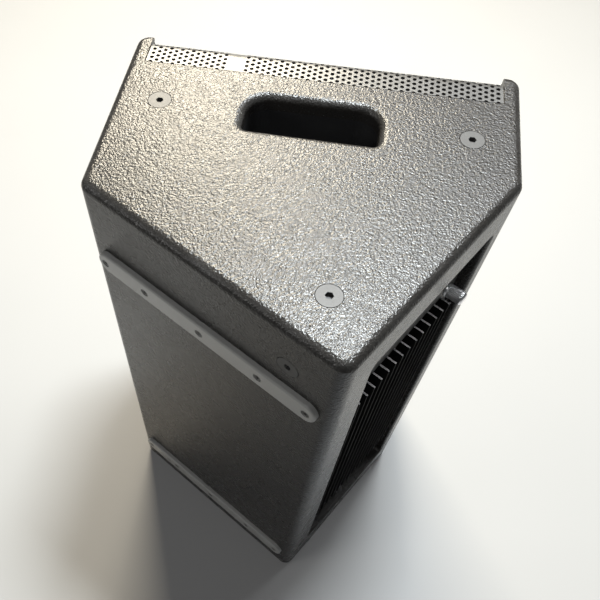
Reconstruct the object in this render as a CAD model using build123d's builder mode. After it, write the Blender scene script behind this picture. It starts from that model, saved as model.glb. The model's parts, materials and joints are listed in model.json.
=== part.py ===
from build123d import *
import os
from math import cos, pi, radians, sin, sqrt, tan

# A powered stage monitor wedge, standing on one end. The grille faces -Y, the handle is in the
# top end, and the skid rails and the amplifier face backwards (+Y). Sizes are in millimetres.
# The origin is at the middle of the box that holds the part, at its base.

# --- Cabinet -------------------------------------------------------------------------------
WIDTH = 355.0                 # across the grille
HEIGHT = 580.0                # from end face to end face
LONG_SIDE = 197.0             # wall that meets the floor face
SHORT_SIDE = 133.0            # wall that meets the amplifier face
FLOOR_ANGLE = 30.0            # between the grille and the floor face
REAR_ANGLE = 31.0             # between the side walls and the rear face
PLY = 15.0                    # plywood
CORNER_ROUND = 12.0           # corners that run along the cabinet
EDGE_ROUND = 8.0              # edges round each end face
BAFFLE_SET = 32.0             # baffle's face behind the noses of the walls
BATTEN = 18.0                 # square strips behind the baffle
WOOL = 20.0                   # damping pad

# --- Grille --------------------------------------------------------------------------------
GRILLE_SET = 6.0              # grille's face behind the noses of the walls
GRILLE_SHEET = 1.5
GRILLE_BEND = PLY - 2         # outer radius of its two bends: the end panel is cut to match
GRILLE_FLANGE = 39.0          # how far it wraps onto each end, measured from the noses
GRILLE_GAP, GRILLE_END_GAP = 1.2, 0.6   # at each nose, and where the flange ends
GRILLE_BACK_GAP = 0.4         # between the sheet and the notch behind it
FOAM = 5.0

# --- Handle --------------------------------------------------------------------------------
SLOT_LENGTH, SLOT_WIDTH = 118.0, 43.0
SLOT_GRIP_RADIUS, SLOT_BACK_RADIUS = 21.0, 6.0
SLOT_ROUND = 7.0              # rounding of the grip edge
CUP_DEPTH, CUP_WALL = 50.0, 3.0
CUP_FLANGE_END, CUP_FLANGE_SIDE, CUP_CORNER = 16.0, 8.0, 8.0
CUP_GAP = 11.5                # between the cup's flange and the baffle
# Middle of the slot behind the noses:
SLOT_FROM_FRONT = BAFFLE_SET + PLY + CUP_GAP + CUP_FLANGE_SIDE + SLOT_WIDTH / 2

# --- Fly points (M10) ----------------------------------------------------------------------
FLY_HEAD_RADIUS, FLY_SHANK_RADIUS, FLY_LENGTH = 10.25, 5.0, 32.0
FLY_SOCKET_RADIUS, FLY_SOCKET_DEPTH = 3.5, 4.0
FLY_SLEEVE_RADIUS, FLY_FLANGE_RADIUS, FLY_FLANGE = 7.5, 16.0, 3.0
FLY_GAP = 0.6                 # dark ring round each head
FLY_FROM_SIDE, FLY_FROM_FRONT = 42.0, 89.0
FLY_RIDGE = (21.0, 62.5)      # back point: sideways from the ridge, and forwards of it
FLY_FLOOR = (49.0, 48.0)      # floor-face point: from the ridge, and from the end face

# --- Skid rails ----------------------------------------------------------------------------
RAIL_WIDTH, RAIL_HEIGHT, RAIL_ROUND = 24.0, 5.5, 2.0
RAIL_HEEL_GAP, RAIL_RIDGE_GAP = 9.5, 13.6
RAIL_LOW, RAIL_HIGH = 58.0, 87.0        # middle of each rail from its end face
RAIL_SCREW_PITCH, RAIL_SCREW_END = 65.0, 9.5

# --- Woofer (12 inch) ----------------------------------------------------------------------
FRAME_RADIUS, FRAME_RIM = 154.0, 13.5   # the rim lies on the baffle round the cutout
FRAME_FLANGE, FRAME_WALL, FRAME_DEPTH = 4.0, 3.0, 78.0
FRAME_FOOT_RADIUS = 78.0
WINDOW_DEPTH, WINDOW_WIDE, WINDOW_DEEP, WINDOW_ROUND = 40.0, 46.0, 34.0, 8.0
WOOFER_GAP = 17.0             # between the basket and the bottom end panel
ROLL_RADIUS, ROLL_LAND, ROLL_SKIN = 8.0, 5.0, 0.8
GASKET, GASKET_WIDTH = 3.0, 11.0
WOOFER_SCREWS, WOOFER_SCREW_INSET = 8, 5.5
CONE_NECK_RADIUS, CONE_NECK_DEPTH, CONE_SKIN = 32.0, 52.0, 1.2
COIL_INNER, COIL_SKIN, WINDING_SKIN = 31.2, 0.6, 0.6
MAGNET_RADIUS, MAGNET_HOLE, MAGNET_THICK, PLATE_THICK = 78.0, 45.0, 20.0, 8.0
MAGNET_AIR = 0.6              # on each side of the coil
DUST_CAP_RADIUS, DUST_CAP_RISE = 38.0, 14.0

# --- Horn and ports ------------------------------------------------------------------------
HORN_FROM_TOP, HORN_WIDTH, HORN_HEIGHT, HORN_DEPTH = 155.0, 190.0, 120.0, 85.0
HORN_FLANGE, HORN_LIP, HORN_WALL, THROAT_RADIUS = 4.0, 7.0, 3.0, 12.7
DRIVER_RADIUS, DRIVER_DEPTH, DRIVER_COVER, THROAT_PLATE_RADIUS = 48.0, 42.0, 14.0, 34.0
PORT_RADIUS, PORT_WALL, PORT_LENGTH, PORT_FROM_WALL = 25.0, 2.0, 60.0, 30.0

# --- Pole socket ---------------------------------------------------------------------------
POLE_RADIUS, POLE_WALL, POLE_DEPTH = 17.75, 2.25, 82.0
POLE_FLANGE_RADIUS, POLE_FLANGE, POLE_FROM_FRONT = 40.0, 3.0, 159.0

# --- Amplifier -----------------------------------------------------------------------------
RIDGE_BORDER, SHORT_BORDER, END_BORDER = 42.0, 18.4, 45.0   # wood left round the opening
OPENING_CORNER, OPENING_ROUND = 6.0, 3.0
AMP_SHEET, AMP_GAP = 3.0, 0.4
RECESS = PLY - AMP_SHEET      # the plate lies on a ledge behind the frame
LEDGE, LEDGE_RIDGE, LEDGE_SIDE, LEDGE_BACK = 15.0, 5.0, 10.0, 10.0
FIN_PITCH, FIN_THICK, FIN_BELOW = 10.8, 1.8, 2.0
FIN_FIRST, FIN_FROM_LEDGE, FIN_FROM_END, SINK_BASE = 50.0, 8.0, 125.0, 5.0
CONNECTOR_Z = 70.0            # row of connectors below the top end face
XLR_IN_S, XLR_OUT_S, BUTTON_S = 61.0, 106.0, 145.0
XLR_WIDE, XLR_HIGH, XLR_CORNER, XLR_MOUTH = 26.0, 31.0, 2.5, 16.0
XLR_SCREW_S, XLR_SCREW_Z = 9.5, 12.5    # screws from the middle of each connector
KNOB_FROM_SIDE, KNOB_Z = 28.0, 104.0    # from the short side of the opening, and from the end
KNOB_RADIUS, KNOB_PROUD, SHAFT_RADIUS = 6.8, 8.5, 3.0
INLET_S, SWITCH_S, MAINS_Z = 74.0, 112.0, 87.0
TOROID_RADIUS, TOROID_HOLE, TOROID_THICK, TOROID_GAP = 30.0, 11.0, 28.0, 6.0
BOARD_GAP, BOARD = 12.0, 1.6
PILLAR_RADIUS, TRANSISTOR_WIDE, TRANSISTOR_HIGH, TRANSISTOR_THICK = 3.2, 16.0, 20.0, 5.0
CAPACITOR_RADIUS, CAPACITOR_TALL, CAPACITOR_PITCH = 12.5, 24.0, 31.0

# --- Clearances and fasteners --------------------------------------------------------------
FIT = 0.3                     # between pieces that move past each other
SHAFT_FIT = 0.05              # round a shaft
WOOD_SCREW, WOOD_HEAD, WOOD_HEAD_HIGH = 2.0, 3.8, 2.2
SMALL_SCREW, SMALL_HEAD, SMALL_HEAD_HIGH = 1.5, 2.7, 1.8
BOLT, BOLT_HEAD, BOLT_HEAD_HIGH = 2.5, 4.6, 3.0
UP = (Align.CENTER, Align.CENTER, Align.MIN)
DOWN = (Align.CENTER, Align.CENTER, Align.MAX)

# --- Cross-section -------------------------------------------------------------------------
COS, SIN = cos(radians(FLOOR_ANGLE)), sin(radians(FLOOR_ANGLE))
REAR_COS, REAR_SIN = cos(radians(REAR_ANGLE)), sin(radians(REAR_ANGLE))
square = COS * REAR_COS + SIN * REAR_SIN          # 1 where the ridge is a right angle
FLOOR_RUN = (WIDTH * REAR_COS - (LONG_SIDE - SHORT_SIDE) * REAR_SIN) / square
REAR_RUN = (WIDTH * SIN + (LONG_SIDE - SHORT_SIDE) * COS) / square
RAIL_LENGTH = FLOOR_RUN - RAIL_HEEL_GAP - RAIL_RIDGE_GAP

# How far back the ridge and the rails reach: the larger sets the middle of the box.
ridge_round_off = (COS + REAR_SIN) / (1 + COS * REAR_SIN - SIN * REAR_COS) - 1
ridge_reach = LONG_SIDE + FLOOR_RUN * SIN - CORNER_ROUND * ridge_round_off
rail_reach = (LONG_SIDE + (FLOOR_RUN - RAIL_RIDGE_GAP) * SIN + RAIL_HEIGHT * COS
              - RAIL_ROUND * (COS + SIN - 1))
FRONT = -max(ridge_reach, rail_reach) / 2

NOSE_LONG = (WIDTH / 2, FRONT)
NOSE_SHORT = (-WIDTH / 2, FRONT)
SHOULDER = (-WIDTH / 2, FRONT + SHORT_SIDE)
HEEL = (WIDTH / 2, FRONT + LONG_SIDE)
RIDGE = (HEEL[0] - FLOOR_RUN * COS, HEEL[1] + FLOOR_RUN * SIN)
CORNERS = [NOSE_LONG, HEEL, RIDGE, SHOULDER, NOSE_SHORT]

BAFFLE_Y = FRONT + BAFFLE_SET
WOOFER_Z = PLY + WOOFER_GAP + FRAME_RADIUS
HORN_Z = HEIGHT - HORN_FROM_TOP
CUTOUT_RADIUS = FRAME_RADIUS - FRAME_RIM
GASKET_INNER = FRAME_RADIUS - GASKET_WIDTH
ROLL_MIDDLE = GASKET_INNER - ROLL_LAND - ROLL_RADIUS
INNER = WIDTH / 2 - PLY       # inner faces of the two side walls
TOP = HEIGHT - PLY

# Sketch planes: x runs along the face, y runs up, and z points out of the cabinet.
floor_face = Plane((*HEEL, 0), x_dir=(-COS, SIN, 0), z_dir=(SIN, COS, 0))
rear_face = Plane((*RIDGE, 0), x_dir=(-REAR_SIN, -REAR_COS, 0), z_dir=(-REAR_COS, REAR_SIN, 0))
top_face = Plane((0, FRONT, HEIGHT), x_dir=(1, 0, 0), z_dir=(0, 0, 1))
bottom_face = Plane((0, FRONT, 0), x_dir=(1, 0, 0), z_dir=(0, 0, -1))
slot_base = Plane((0, FRONT + SLOT_FROM_FRONT, TOP))
woofer_section = Plane((0, BAFFLE_Y, WOOFER_Z))
horn_section = Plane((0, BAFFLE_Y, HORN_Z))
baffle_face = Plane((0, BAFFLE_Y, 0), x_dir=(1, 0, 0), z_dir=(0, -1, 0))
horn_face = Plane((0, BAFFLE_Y, HORN_Z), x_dir=(1, 0, 0), z_dir=(0, -1, 0))
amp_face = rear_face.offset(-RECESS)


def on(plane, points, height=0.0):
    """Places on a plane, each pointing out of it."""
    return [plane.location * Location((x, y, height)) for x, y in points]


def turned_over(places, height=0.0):
    """The same places pointing the other way."""
    return [place * Location((0, 0, height), (180, 0, 0)) for place in places]


def ring(radius, count, start, centre=(0, 0)):
    """Points round a circle."""
    return [(centre[0] + radius * cos(radians(start + 360 * step / count)),
             centre[1] + radius * sin(radians(start + 360 * step / count)))
            for step in range(count)]


def inset(corners, amount):
    """Corners of an anticlockwise polygon moved inwards."""
    moved = []
    for index, corner in enumerate(corners):
        here = Vector(*corner)
        before = (here - Vector(*corners[index - 1])).normalized()
        after = (Vector(*corners[(index + 1) % len(corners)]) - here).normalized()
        normals = Vector(-before.Y, before.X) + Vector(-after.Y, after.X)
        shift = normals * (amount / (1 + before.dot(after)))
        moved.append((here.X + shift.X, here.Y + shift.Y))
    return moved


def save(piece, name):
    """Label a piece and write it."""
    piece.part.label = name
    export_step(piece.part, f"parts/{name}.step")


def block(left, right, low, high, mode=Mode.ADD):
    """A rectangle between two sideways and two upward positions of a sketch."""
    with Locations(((left + right) / 2, (low + high) / 2)):
        Rectangle(right - left, high - low, mode=mode)


def drill(places, radius, depth):
    """Holes from each place into the piece that is being made."""
    with Locations(*places):
        Hole(radius, depth)


def turned(plane, profile, name):
    """Revolve a closed profile of (radius, depth) points about the plane's own y axis."""
    with BuildPart() as piece:
        with BuildSketch(plane):
            Polygon(*profile, align=None)
        revolve(axis=Axis(plane.origin, plane.y_dir))
    save(piece, name)
    return piece


def pan_screws(name, radius, head_radius, head_height, *groups):
    """Pan-head screws with a cross recess: each group is its length and its places."""
    with BuildPart() as piece:
        for length, places in groups:
            with Locations(*places):
                Cylinder(radius, length, align=DOWN)
                Cylinder(head_radius, head_height, align=UP)
        every = [place * Location((0, 0, head_height)) for _, places in groups for place in places]
        with Locations(*every):
            Box(head_radius, head_radius / 4, head_height / 2, align=DOWN, mode=Mode.SUBTRACT)
            Box(head_radius / 4, head_radius, head_height / 2, align=DOWN, mode=Mode.SUBTRACT)
    save(piece, name)


os.makedirs("parts", exist_ok=True)

# --- Outline of the cabinet ----------------------------------------------------------------
with BuildSketch() as outline:
    Polygon(*CORNERS, align=None)
    fillet(outline.vertices(), CORNER_ROUND)

# The grille stands in a notch between the two noses, whose inner edges are rounded too.
nose_round = PLY - CORNER_ROUND
notch_back = FRONT + GRILLE_SET + GRILLE_SHEET + GRILLE_BACK_GAP
with BuildSketch() as notch:
    with BuildLine():
        Polyline((INNER + nose_round, FRONT), (INNER + nose_round, FRONT - 1),
                 (-INNER - nose_round, FRONT - 1), (-INNER - nose_round, FRONT))
        TangentArc((-INNER - nose_round, FRONT), (-INNER, FRONT + nose_round),
                   tangent=(1, 0))
        Polyline((-INNER, FRONT + nose_round), (-INNER, notch_back),
                 (INNER, notch_back), (INNER, FRONT + nose_round))
        TangentArc((INNER, FRONT + nose_round), (INNER + nose_round, FRONT),
                   tangent=(0, -1))
    make_face()

# --- Places of the fasteners ---------------------------------------------------------------
fly_side = WIDTH / 2 - FLY_FROM_SIDE
fly_on_end = [(fly_side, FLY_FROM_FRONT), (-fly_side, FLY_FROM_FRONT),
              (RIDGE[0] + FLY_RIDGE[0], RIDGE[1] - FRONT - FLY_RIDGE[1])]
fly_on_floor = FLOOR_RUN - FLY_FLOOR[0]
fly_top = on(top_face, fly_on_end)
fly_bottom = on(bottom_face, [(x, -y) for x, y in fly_on_end])
fly_floor = on(floor_face, [(fly_on_floor, HEIGHT - FLY_FLOOR[1]), (fly_on_floor, FLY_FLOOR[1])])

rail_middle = RAIL_HEEL_GAP + RAIL_LENGTH / 2
rail_reach_screw = RAIL_LENGTH / 2 - RAIL_SCREW_END
rail_steps = (-rail_reach_screw, -RAIL_SCREW_PITCH, 0, RAIL_SCREW_PITCH, rail_reach_screw)
rail_heights = (RAIL_LOW, HEIGHT - RAIL_HIGH)
rail_sink = WOOD_HEAD_HIGH + 0.5
rail_screw_places = on(floor_face, [(rail_middle + step, z) for z in rail_heights
                                    for step in rail_steps], RAIL_HEIGHT - rail_sink)

cup_screw_x, cup_screw_y = (SLOT_LENGTH + CUP_FLANGE_END) / 2, SLOT_WIDTH / 3
cup_screw_places = turned_over(on(slot_base, [(x * cup_screw_x, y * cup_screw_y)
                                              for x in (-1, 1) for y in (-1, 1)], -CUP_WALL))

pole_middle = (0, -POLE_FROM_FRONT)
pole_screw_ring = (POLE_FLANGE_RADIUS + POLE_RADIUS + POLE_WALL) / 2
pole_screw_places = on(bottom_face, ring(pole_screw_ring, 4, 45, pole_middle), -SMALL_HEAD_HIGH)

woofer_screw_places = on(baffle_face, ring(FRAME_RADIUS - WOOFER_SCREW_INSET, WOOFER_SCREWS,
                                           180 / WOOFER_SCREWS, (0, WOOFER_Z)),
                         FRAME_FLANGE + GASKET)
horn_flange_x, horn_flange_z = HORN_WIDTH / 2 + HORN_LIP, HORN_HEIGHT / 2 + HORN_LIP
horn_screw_places = on(baffle_face, [(x * (horn_flange_x - 4), HORN_Z + z * (horn_flange_z - 4))
                                     for x in (-1, 1) for z in (-1, 1)], HORN_FLANGE)
port_side = INNER - PORT_FROM_WALL

block_half, block_inset = 7.0, 9.0
block_points = [(x * (INNER - block_inset), z) for x in (-1, 1)
                for z in (PLY + block_inset, HORN_Z - 73, TOP - block_inset)]
grille_screw_places = on(baffle_face, block_points, BAFFLE_SET - GRILLE_SET)

open_left, open_right = RIDGE_BORDER, REAR_RUN - SHORT_BORDER
open_low, open_high = END_BORDER, HEIGHT - END_BORDER
ledge_left, ledge_right = open_left + LEDGE_RIDGE, open_right - LEDGE_SIDE
ledge_low, ledge_high = open_low + LEDGE_SIDE, open_high - LEDGE_SIDE
plate_back = -AMP_SHEET
fin_count = int((ledge_right - FIN_FROM_LEDGE - FIN_FIRST) / FIN_PITCH) + 1
fin_last = FIN_FIRST + (fin_count - 1) * FIN_PITCH
fin_low, fin_high = FIN_FROM_END, HEIGHT - FIN_FROM_END
plate_screw_low, plate_screw_high = open_low + LEDGE_SIDE / 2, open_high - LEDGE_SIDE / 2
plate_screw_rows = 6
amp_screw_points = [(side, plate_screw_low + row * (plate_screw_high - plate_screw_low)
                     / (plate_screw_rows - 1))
                    for side in (open_left + LEDGE_RIDGE / 2 + AMP_GAP,
                                 open_right - LEDGE_SIDE / 2)
                    for row in range(plate_screw_rows)]
amp_screw_places = on(amp_face, amp_screw_points)

# --- End panels ----------------------------------------------------------------------------
sleeve_hole = FLY_SLEEVE_RADIUS + 0.1
fly_mouth = FLY_HEAD_RADIUS + FLY_GAP


def countersink(places, depth):
    """Holes for the fly points in a panel: a sleeve hole that opens into a cone."""
    with Locations(*places):
        Hole(sleeve_hole, depth)
        Cone(sleeve_hole, fly_mouth, fly_mouth - sleeve_hole, align=DOWN, mode=Mode.SUBTRACT)


with BuildPart() as blank:
    with BuildSketch(Plane.XY.offset(TOP)):
        add(outline.sketch_local)
    extrude(amount=PLY)
    fillet(blank.faces().sort_by(Axis.Z)[-1].edges(), EDGE_ROUND)
    with BuildSketch(Plane.XY.offset(TOP)):
        add(notch.sketch_local)
    extrude(amount=PLY, mode=Mode.SUBTRACT)
    rebate = GRILLE_SHEET + FIT
    with BuildSketch(Plane.XY.offset(HEIGHT - rebate)):
        block(-INNER, INNER, notch_back - 1, FRONT + GRILLE_FLANGE + GRILLE_END_GAP)
    extrude(amount=rebate, mode=Mode.SUBTRACT)
    long_edges = blank.edges().filter_by(Axis.X).group_by(Axis.Y)[0]
    fillet(long_edges.sort_by(Axis.Z)[-1], GRILLE_BEND - GRILLE_SHEET + GRILLE_BACK_GAP)
    countersink(fly_top, PLY)

with BuildPart() as top_end:
    add(blank.part)
    with BuildSketch(slot_base) as slot:
        Rectangle(SLOT_LENGTH, SLOT_WIDTH)
        fillet(slot.vertices().group_by(Axis.Y)[0], SLOT_GRIP_RADIUS)
        fillet(slot.vertices().group_by(Axis.Y)[-1], SLOT_BACK_RADIUS)
    extrude(amount=PLY, mode=Mode.SUBTRACT)
    grip_face = top_end.faces().filter_by(Plane.XY).sort_by(Axis.Z)[-1]
    fillet(grip_face.inner_wires().sort_by(SortBy.LENGTH)[-1].edges(), SLOT_ROUND)
    drill([place * Location((0, 0, -CUP_WALL)) for place in cup_screw_places], WOOD_SCREW, 9.0)
save(top_end, "top_end_panel")

with BuildPart() as bottom_end:
    add(mirror(blank.part, about=Plane.XY.offset(HEIGHT / 2), mode=Mode.PRIVATE))
    drill(on(bottom_face, [pole_middle]), POLE_RADIUS + POLE_WALL + 0.1, PLY)
    drill(on(bottom_face, [pole_middle]), POLE_FLANGE_RADIUS + 0.1, POLE_FLANGE)
    drill(pole_screw_places, SMALL_SCREW, PLY - 4)
save(bottom_end, "bottom_end_panel")

# --- Walls, mitred where they meet ---------------------------------------------------------
inner_corners = inset(CORNERS, PLY)
with BuildSketch() as walls_outline:
    add(outline.sketch_local)
    add(notch.sketch_local, mode=Mode.SUBTRACT)


def wall(first, name, front_corner=None):
    """The wall between two corners, from end panel to end panel."""
    inside = list(inner_corners[first:first + 2])
    if front_corner is not None:
        inside[front_corner] = (inside[front_corner][0], FRONT)
    with BuildPart() as piece:
        with BuildSketch(Plane.XY.offset(PLY)):
            Polygon(*CORNERS[first:first + 2], *reversed(inside), align=None)
            add(walls_outline.sketch_local, mode=Mode.INTERSECT)
        extrude(amount=TOP - PLY)
        if name == "floor_wall":
            countersink(fly_floor, PLY)
            drill(rail_screw_places, WOOD_SCREW, 16.0)
        if name == "rear_frame":
            with BuildSketch(rear_face.offset(-PLY)) as hole:
                block(open_left, open_right, open_low, open_high)
                fillet(hole.vertices(), OPENING_CORNER)
            extrude(amount=PLY, mode=Mode.SUBTRACT)
            rim = piece.faces().filter_by(lambda face: abs(
                face.normal_at().dot(rear_face.z_dir) - 1) < 1e-6).sort_by(SortBy.AREA)[-1]
            fillet(rim.inner_wires()[0].edges(), OPENING_ROUND)
    save(piece, name)


wall(0, "long_side_wall", front_corner=0)
wall(1, "floor_wall")
wall(2, "rear_frame")
wall(3, "short_side_wall", front_corner=1)

# --- Baffle and the pieces glued behind and in front of it ---------------------------------
with BuildPart() as baffle:
    with BuildSketch(baffle_face.offset(-PLY)):
        block(-INNER, INNER, PLY, TOP)
        with Locations((0, WOOFER_Z)):
            Circle(CUTOUT_RADIUS, mode=Mode.SUBTRACT)
        with Locations((0, HORN_Z)):
            Rectangle(HORN_WIDTH + 1, HORN_HEIGHT + 1, mode=Mode.SUBTRACT)
        with Locations((port_side, HORN_Z), (-port_side, HORN_Z)):
            Circle(PORT_RADIUS + PORT_WALL + 0.1, mode=Mode.SUBTRACT)
    extrude(amount=PLY)
    drill(woofer_screw_places, BOLT, 20.0)
    drill(horn_screw_places, WOOD_SCREW, 16.0)
save(baffle, "baffle")

batten_top = HORN_Z - PORT_RADIUS - PORT_WALL - 10
foam_back = BAFFLE_SET - GRILLE_SET - GRILLE_SHEET - FOAM
with BuildPart() as battens:
    with BuildSketch(baffle_face.offset(-PLY)):
        block(INNER - BATTEN, INNER, PLY, batten_top)
        block(-INNER, -INNER + BATTEN, PLY, batten_top)
    extrude(amount=-BATTEN)
    with BuildSketch(baffle_face):
        with Locations(*block_points):
            Rectangle(2 * block_half, 2 * block_half)
    extrude(amount=foam_back)
    drill(grille_screw_places, WOOD_SCREW, 22.0)
save(battens, "baffle_battens")

with BuildPart() as wool:
    with BuildSketch(floor_face.offset(-PLY)):
        block(PLY + 20, FLOOR_RUN - 70, PLY + 45, TOP - 65)
    extrude(amount=-WOOL)
save(wool, "damping_wool")

# --- Grille --------------------------------------------------------------------------------
grille_half = INNER - GRILLE_GAP
sheet_front, flange_end = FRONT + GRILLE_SET, FRONT + GRILLE_FLANGE
with BuildPart() as grille:
    with BuildSketch(Plane.YZ.offset(-grille_half)) as section:
        with BuildLine():
            FilletPolyline((flange_end, 0), (sheet_front, 0), (sheet_front, HEIGHT),
                           (flange_end, HEIGHT), radius=GRILLE_BEND)
            Line((flange_end, HEIGHT), (flange_end, HEIGHT - GRILLE_SHEET))
            FilletPolyline((flange_end, HEIGHT - GRILLE_SHEET),
                           (sheet_front + GRILLE_SHEET, HEIGHT - GRILLE_SHEET),
                           (sheet_front + GRILLE_SHEET, GRILLE_SHEET),
                           (flange_end, GRILLE_SHEET), radius=GRILLE_BEND - GRILLE_SHEET)
            Line((flange_end, GRILLE_SHEET), (flange_end, 0))
        make_face()
    extrude(amount=2 * grille_half)
    drill(grille_screw_places, WOOD_SCREW + SHAFT_FIT, 5.0)
save(grille, "grille")

with BuildPart() as foam:
    with BuildSketch(baffle_face.offset(foam_back)):
        block(-grille_half, grille_half, PLY + FIT, TOP - FIT)
    extrude(amount=FOAM)
    drill(grille_screw_places, WOOD_SCREW + SHAFT_FIT, 10.0)
save(foam, "grille_foam")
pan_screws("grille_screws", WOOD_SCREW, WOOD_HEAD, WOOD_HEAD_HIGH, (20.0, grille_screw_places))

# --- Handle cup ----------------------------------------------------------------------------
with BuildPart() as cup:
    with BuildSketch(slot_base.offset(-CUP_WALL)):
        RectangleRounded(SLOT_LENGTH + 2 * CUP_FLANGE_END, SLOT_WIDTH + 2 * CUP_FLANGE_SIDE,
                         CUP_CORNER)
    extrude(amount=CUP_WALL)
    with BuildSketch(slot_base.offset(-CUP_DEPTH - CUP_WALL)):
        add(slot.sketch_local)
        offset(amount=CUP_WALL)
    extrude(amount=CUP_DEPTH + CUP_WALL)
    fillet(cup.faces().sort_by(Axis.Z)[0].edges(), CUP_WALL)
    with BuildSketch(slot_base.offset(-CUP_DEPTH)):
        add(slot.sketch_local)
    extrude(amount=CUP_DEPTH, mode=Mode.SUBTRACT)
    drill(cup_screw_places, WOOD_SCREW + SHAFT_FIT, 5.0)
save(cup, "handle_cup")

# --- Fly points ----------------------------------------------------------------------------
head_depth = FLY_HEAD_RADIUS - FLY_SHANK_RADIUS
fly_places = fly_top + fly_bottom + fly_floor
with BuildPart() as fly_screws:
    with Locations(*fly_places):
        Cylinder(FLY_SHANK_RADIUS, FLY_LENGTH, align=DOWN)
        Cone(FLY_SHANK_RADIUS, FLY_HEAD_RADIUS, head_depth, align=DOWN)
    with BuildSketch(*[Plane(place) for place in fly_places]):
        RegularPolygon(FLY_SOCKET_RADIUS, 6)
    extrude(amount=-FLY_SOCKET_DEPTH, mode=Mode.SUBTRACT)
save(fly_screws, "fly_point_screws")

with BuildPart() as fly_inserts:
    with Locations(*[place * Location((0, 0, -head_depth - 0.3)) for place in fly_places]):
        Cylinder(FLY_SLEEVE_RADIUS, PLY - head_depth - 0.3 + FLY_FLANGE, align=DOWN)
    with Locations(*[place * Location((0, 0, -PLY)) for place in fly_places]):
        Cylinder(FLY_FLANGE_RADIUS, FLY_FLANGE, align=DOWN)
    drill(fly_places, FLY_SHANK_RADIUS + SHAFT_FIT, PLY + 20.0)
save(fly_inserts, "fly_point_inserts")

# --- Skid rails ----------------------------------------------------------------------------
for rail_z, rail_name in zip(rail_heights, ("skid_rail_lower", "skid_rail_upper")):
    with BuildPart() as rail:
        with BuildSketch(floor_face):
            with Locations((rail_middle, rail_z)):
                SlotOverall(RAIL_LENGTH, RAIL_WIDTH)
        extrude(amount=RAIL_HEIGHT)
        outer = rail.faces().filter_by(lambda face: abs(
            face.normal_at().dot(floor_face.z_dir) - 1) < 1e-6)
        fillet(outer.edges(), RAIL_ROUND)
        places = on(floor_face, [(rail_middle + step, rail_z) for step in rail_steps],
                    RAIL_HEIGHT)
        drill(places, WOOD_SCREW + SHAFT_FIT, RAIL_HEIGHT)
        drill(places, WOOD_HEAD + 0.4, rail_sink)
    save(rail, rail_name)
pan_screws("skid_rail_screws", WOOD_SCREW, WOOD_HEAD, WOOD_HEAD_HIGH, (14.0, rail_screw_places))

# --- Pole socket ---------------------------------------------------------------------------
pole_section = Plane((0, FRONT + POLE_FROM_FRONT, 0), x_dir=(1, 0, 0), z_dir=(0, -1, 0))
pole_outer = POLE_RADIUS + POLE_WALL
with BuildPart() as pole:
    with BuildSketch(pole_section):
        Polygon((POLE_RADIUS, 0), (POLE_FLANGE_RADIUS, 0), (POLE_FLANGE_RADIUS, POLE_FLANGE),
                (pole_outer, POLE_FLANGE), (pole_outer, POLE_DEPTH + POLE_WALL),
                (0, POLE_DEPTH + POLE_WALL), (0, POLE_DEPTH), (POLE_RADIUS, POLE_DEPTH),
                align=None)
    revolve(axis=Axis(pole_section.origin, pole_section.y_dir))
    drill(pole_screw_places, SMALL_SCREW + SHAFT_FIT, 5.0)
    drill([place * Location((0, 0, SMALL_HEAD_HIGH)) for place in pole_screw_places],
          SMALL_HEAD + 0.2, SMALL_HEAD_HIGH)
save(pole, "pole_socket")

# --- Woofer: fixed pieces ------------------------------------------------------------------
frame_wall_top = 12.0
frame_in = CUTOUT_RADIUS - 0.7
frame_floor = FRAME_DEPTH - FRAME_FLANGE
foot_inner = MAGNET_HOLE
with BuildPart() as basket:
    with BuildSketch(woofer_section):
        Polygon((FRAME_RADIUS, -FRAME_FLANGE), (FRAME_RADIUS, 0), (frame_in, 0),
                (frame_in, frame_wall_top), (FRAME_FOOT_RADIUS, FRAME_DEPTH),
                (foot_inner, FRAME_DEPTH), (foot_inner, frame_floor),
                (FRAME_FOOT_RADIUS - FRAME_WALL, frame_floor),
                (frame_in - FRAME_WALL, frame_wall_top - FRAME_WALL / 2),
                (frame_in - FRAME_WALL, -FRAME_FLANGE), align=None)
    revolve(axis=Axis(woofer_section.origin, woofer_section.y_dir))
    drill(woofer_screw_places, BOLT + SHAFT_FIT, 20.0)
    # Windows between the spokes let the air behind the cone out.
    for spoke in ring(1, 8, 180 / WOOFER_SCREWS):
        across = Plane(woofer_section.origin, x_dir=(-spoke[1], 0, spoke[0]),
                       z_dir=(spoke[0], 0, spoke[1]))
        with BuildSketch(across):
            with Locations((0, -WINDOW_DEPTH)):
                RectangleRounded(WINDOW_WIDE, WINDOW_DEEP, WINDOW_ROUND)
        extrude(amount=frame_in + 5, mode=Mode.SUBTRACT)
save(basket, "woofer_basket")

pole_piece = COIL_INNER - MAGNET_AIR
coil_outer = COIL_INNER + COIL_SKIN + WINDING_SKIN
top_plate_end = FRAME_DEPTH + PLATE_THICK
magnet_end = top_plate_end + MAGNET_THICK
turned(woofer_section, [(coil_outer + MAGNET_AIR, FRAME_DEPTH), (MAGNET_RADIUS - 3, FRAME_DEPTH),
                        (MAGNET_RADIUS - 3, top_plate_end),
                        (coil_outer + MAGNET_AIR, top_plate_end)], "woofer_top_plate")
turned(woofer_section, [(MAGNET_HOLE, top_plate_end), (MAGNET_RADIUS, top_plate_end),
                        (MAGNET_RADIUS, magnet_end), (MAGNET_HOLE, magnet_end)],
       "woofer_magnet")
vent = 10.0
turned(woofer_section, [(vent, FRAME_DEPTH), (pole_piece, FRAME_DEPTH),
                        (pole_piece, magnet_end), (MAGNET_RADIUS - 3, magnet_end),
                        (MAGNET_RADIUS - 3, magnet_end + PLATE_THICK),
                        (vent, magnet_end + PLATE_THICK)], "woofer_back_plate")
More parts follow.
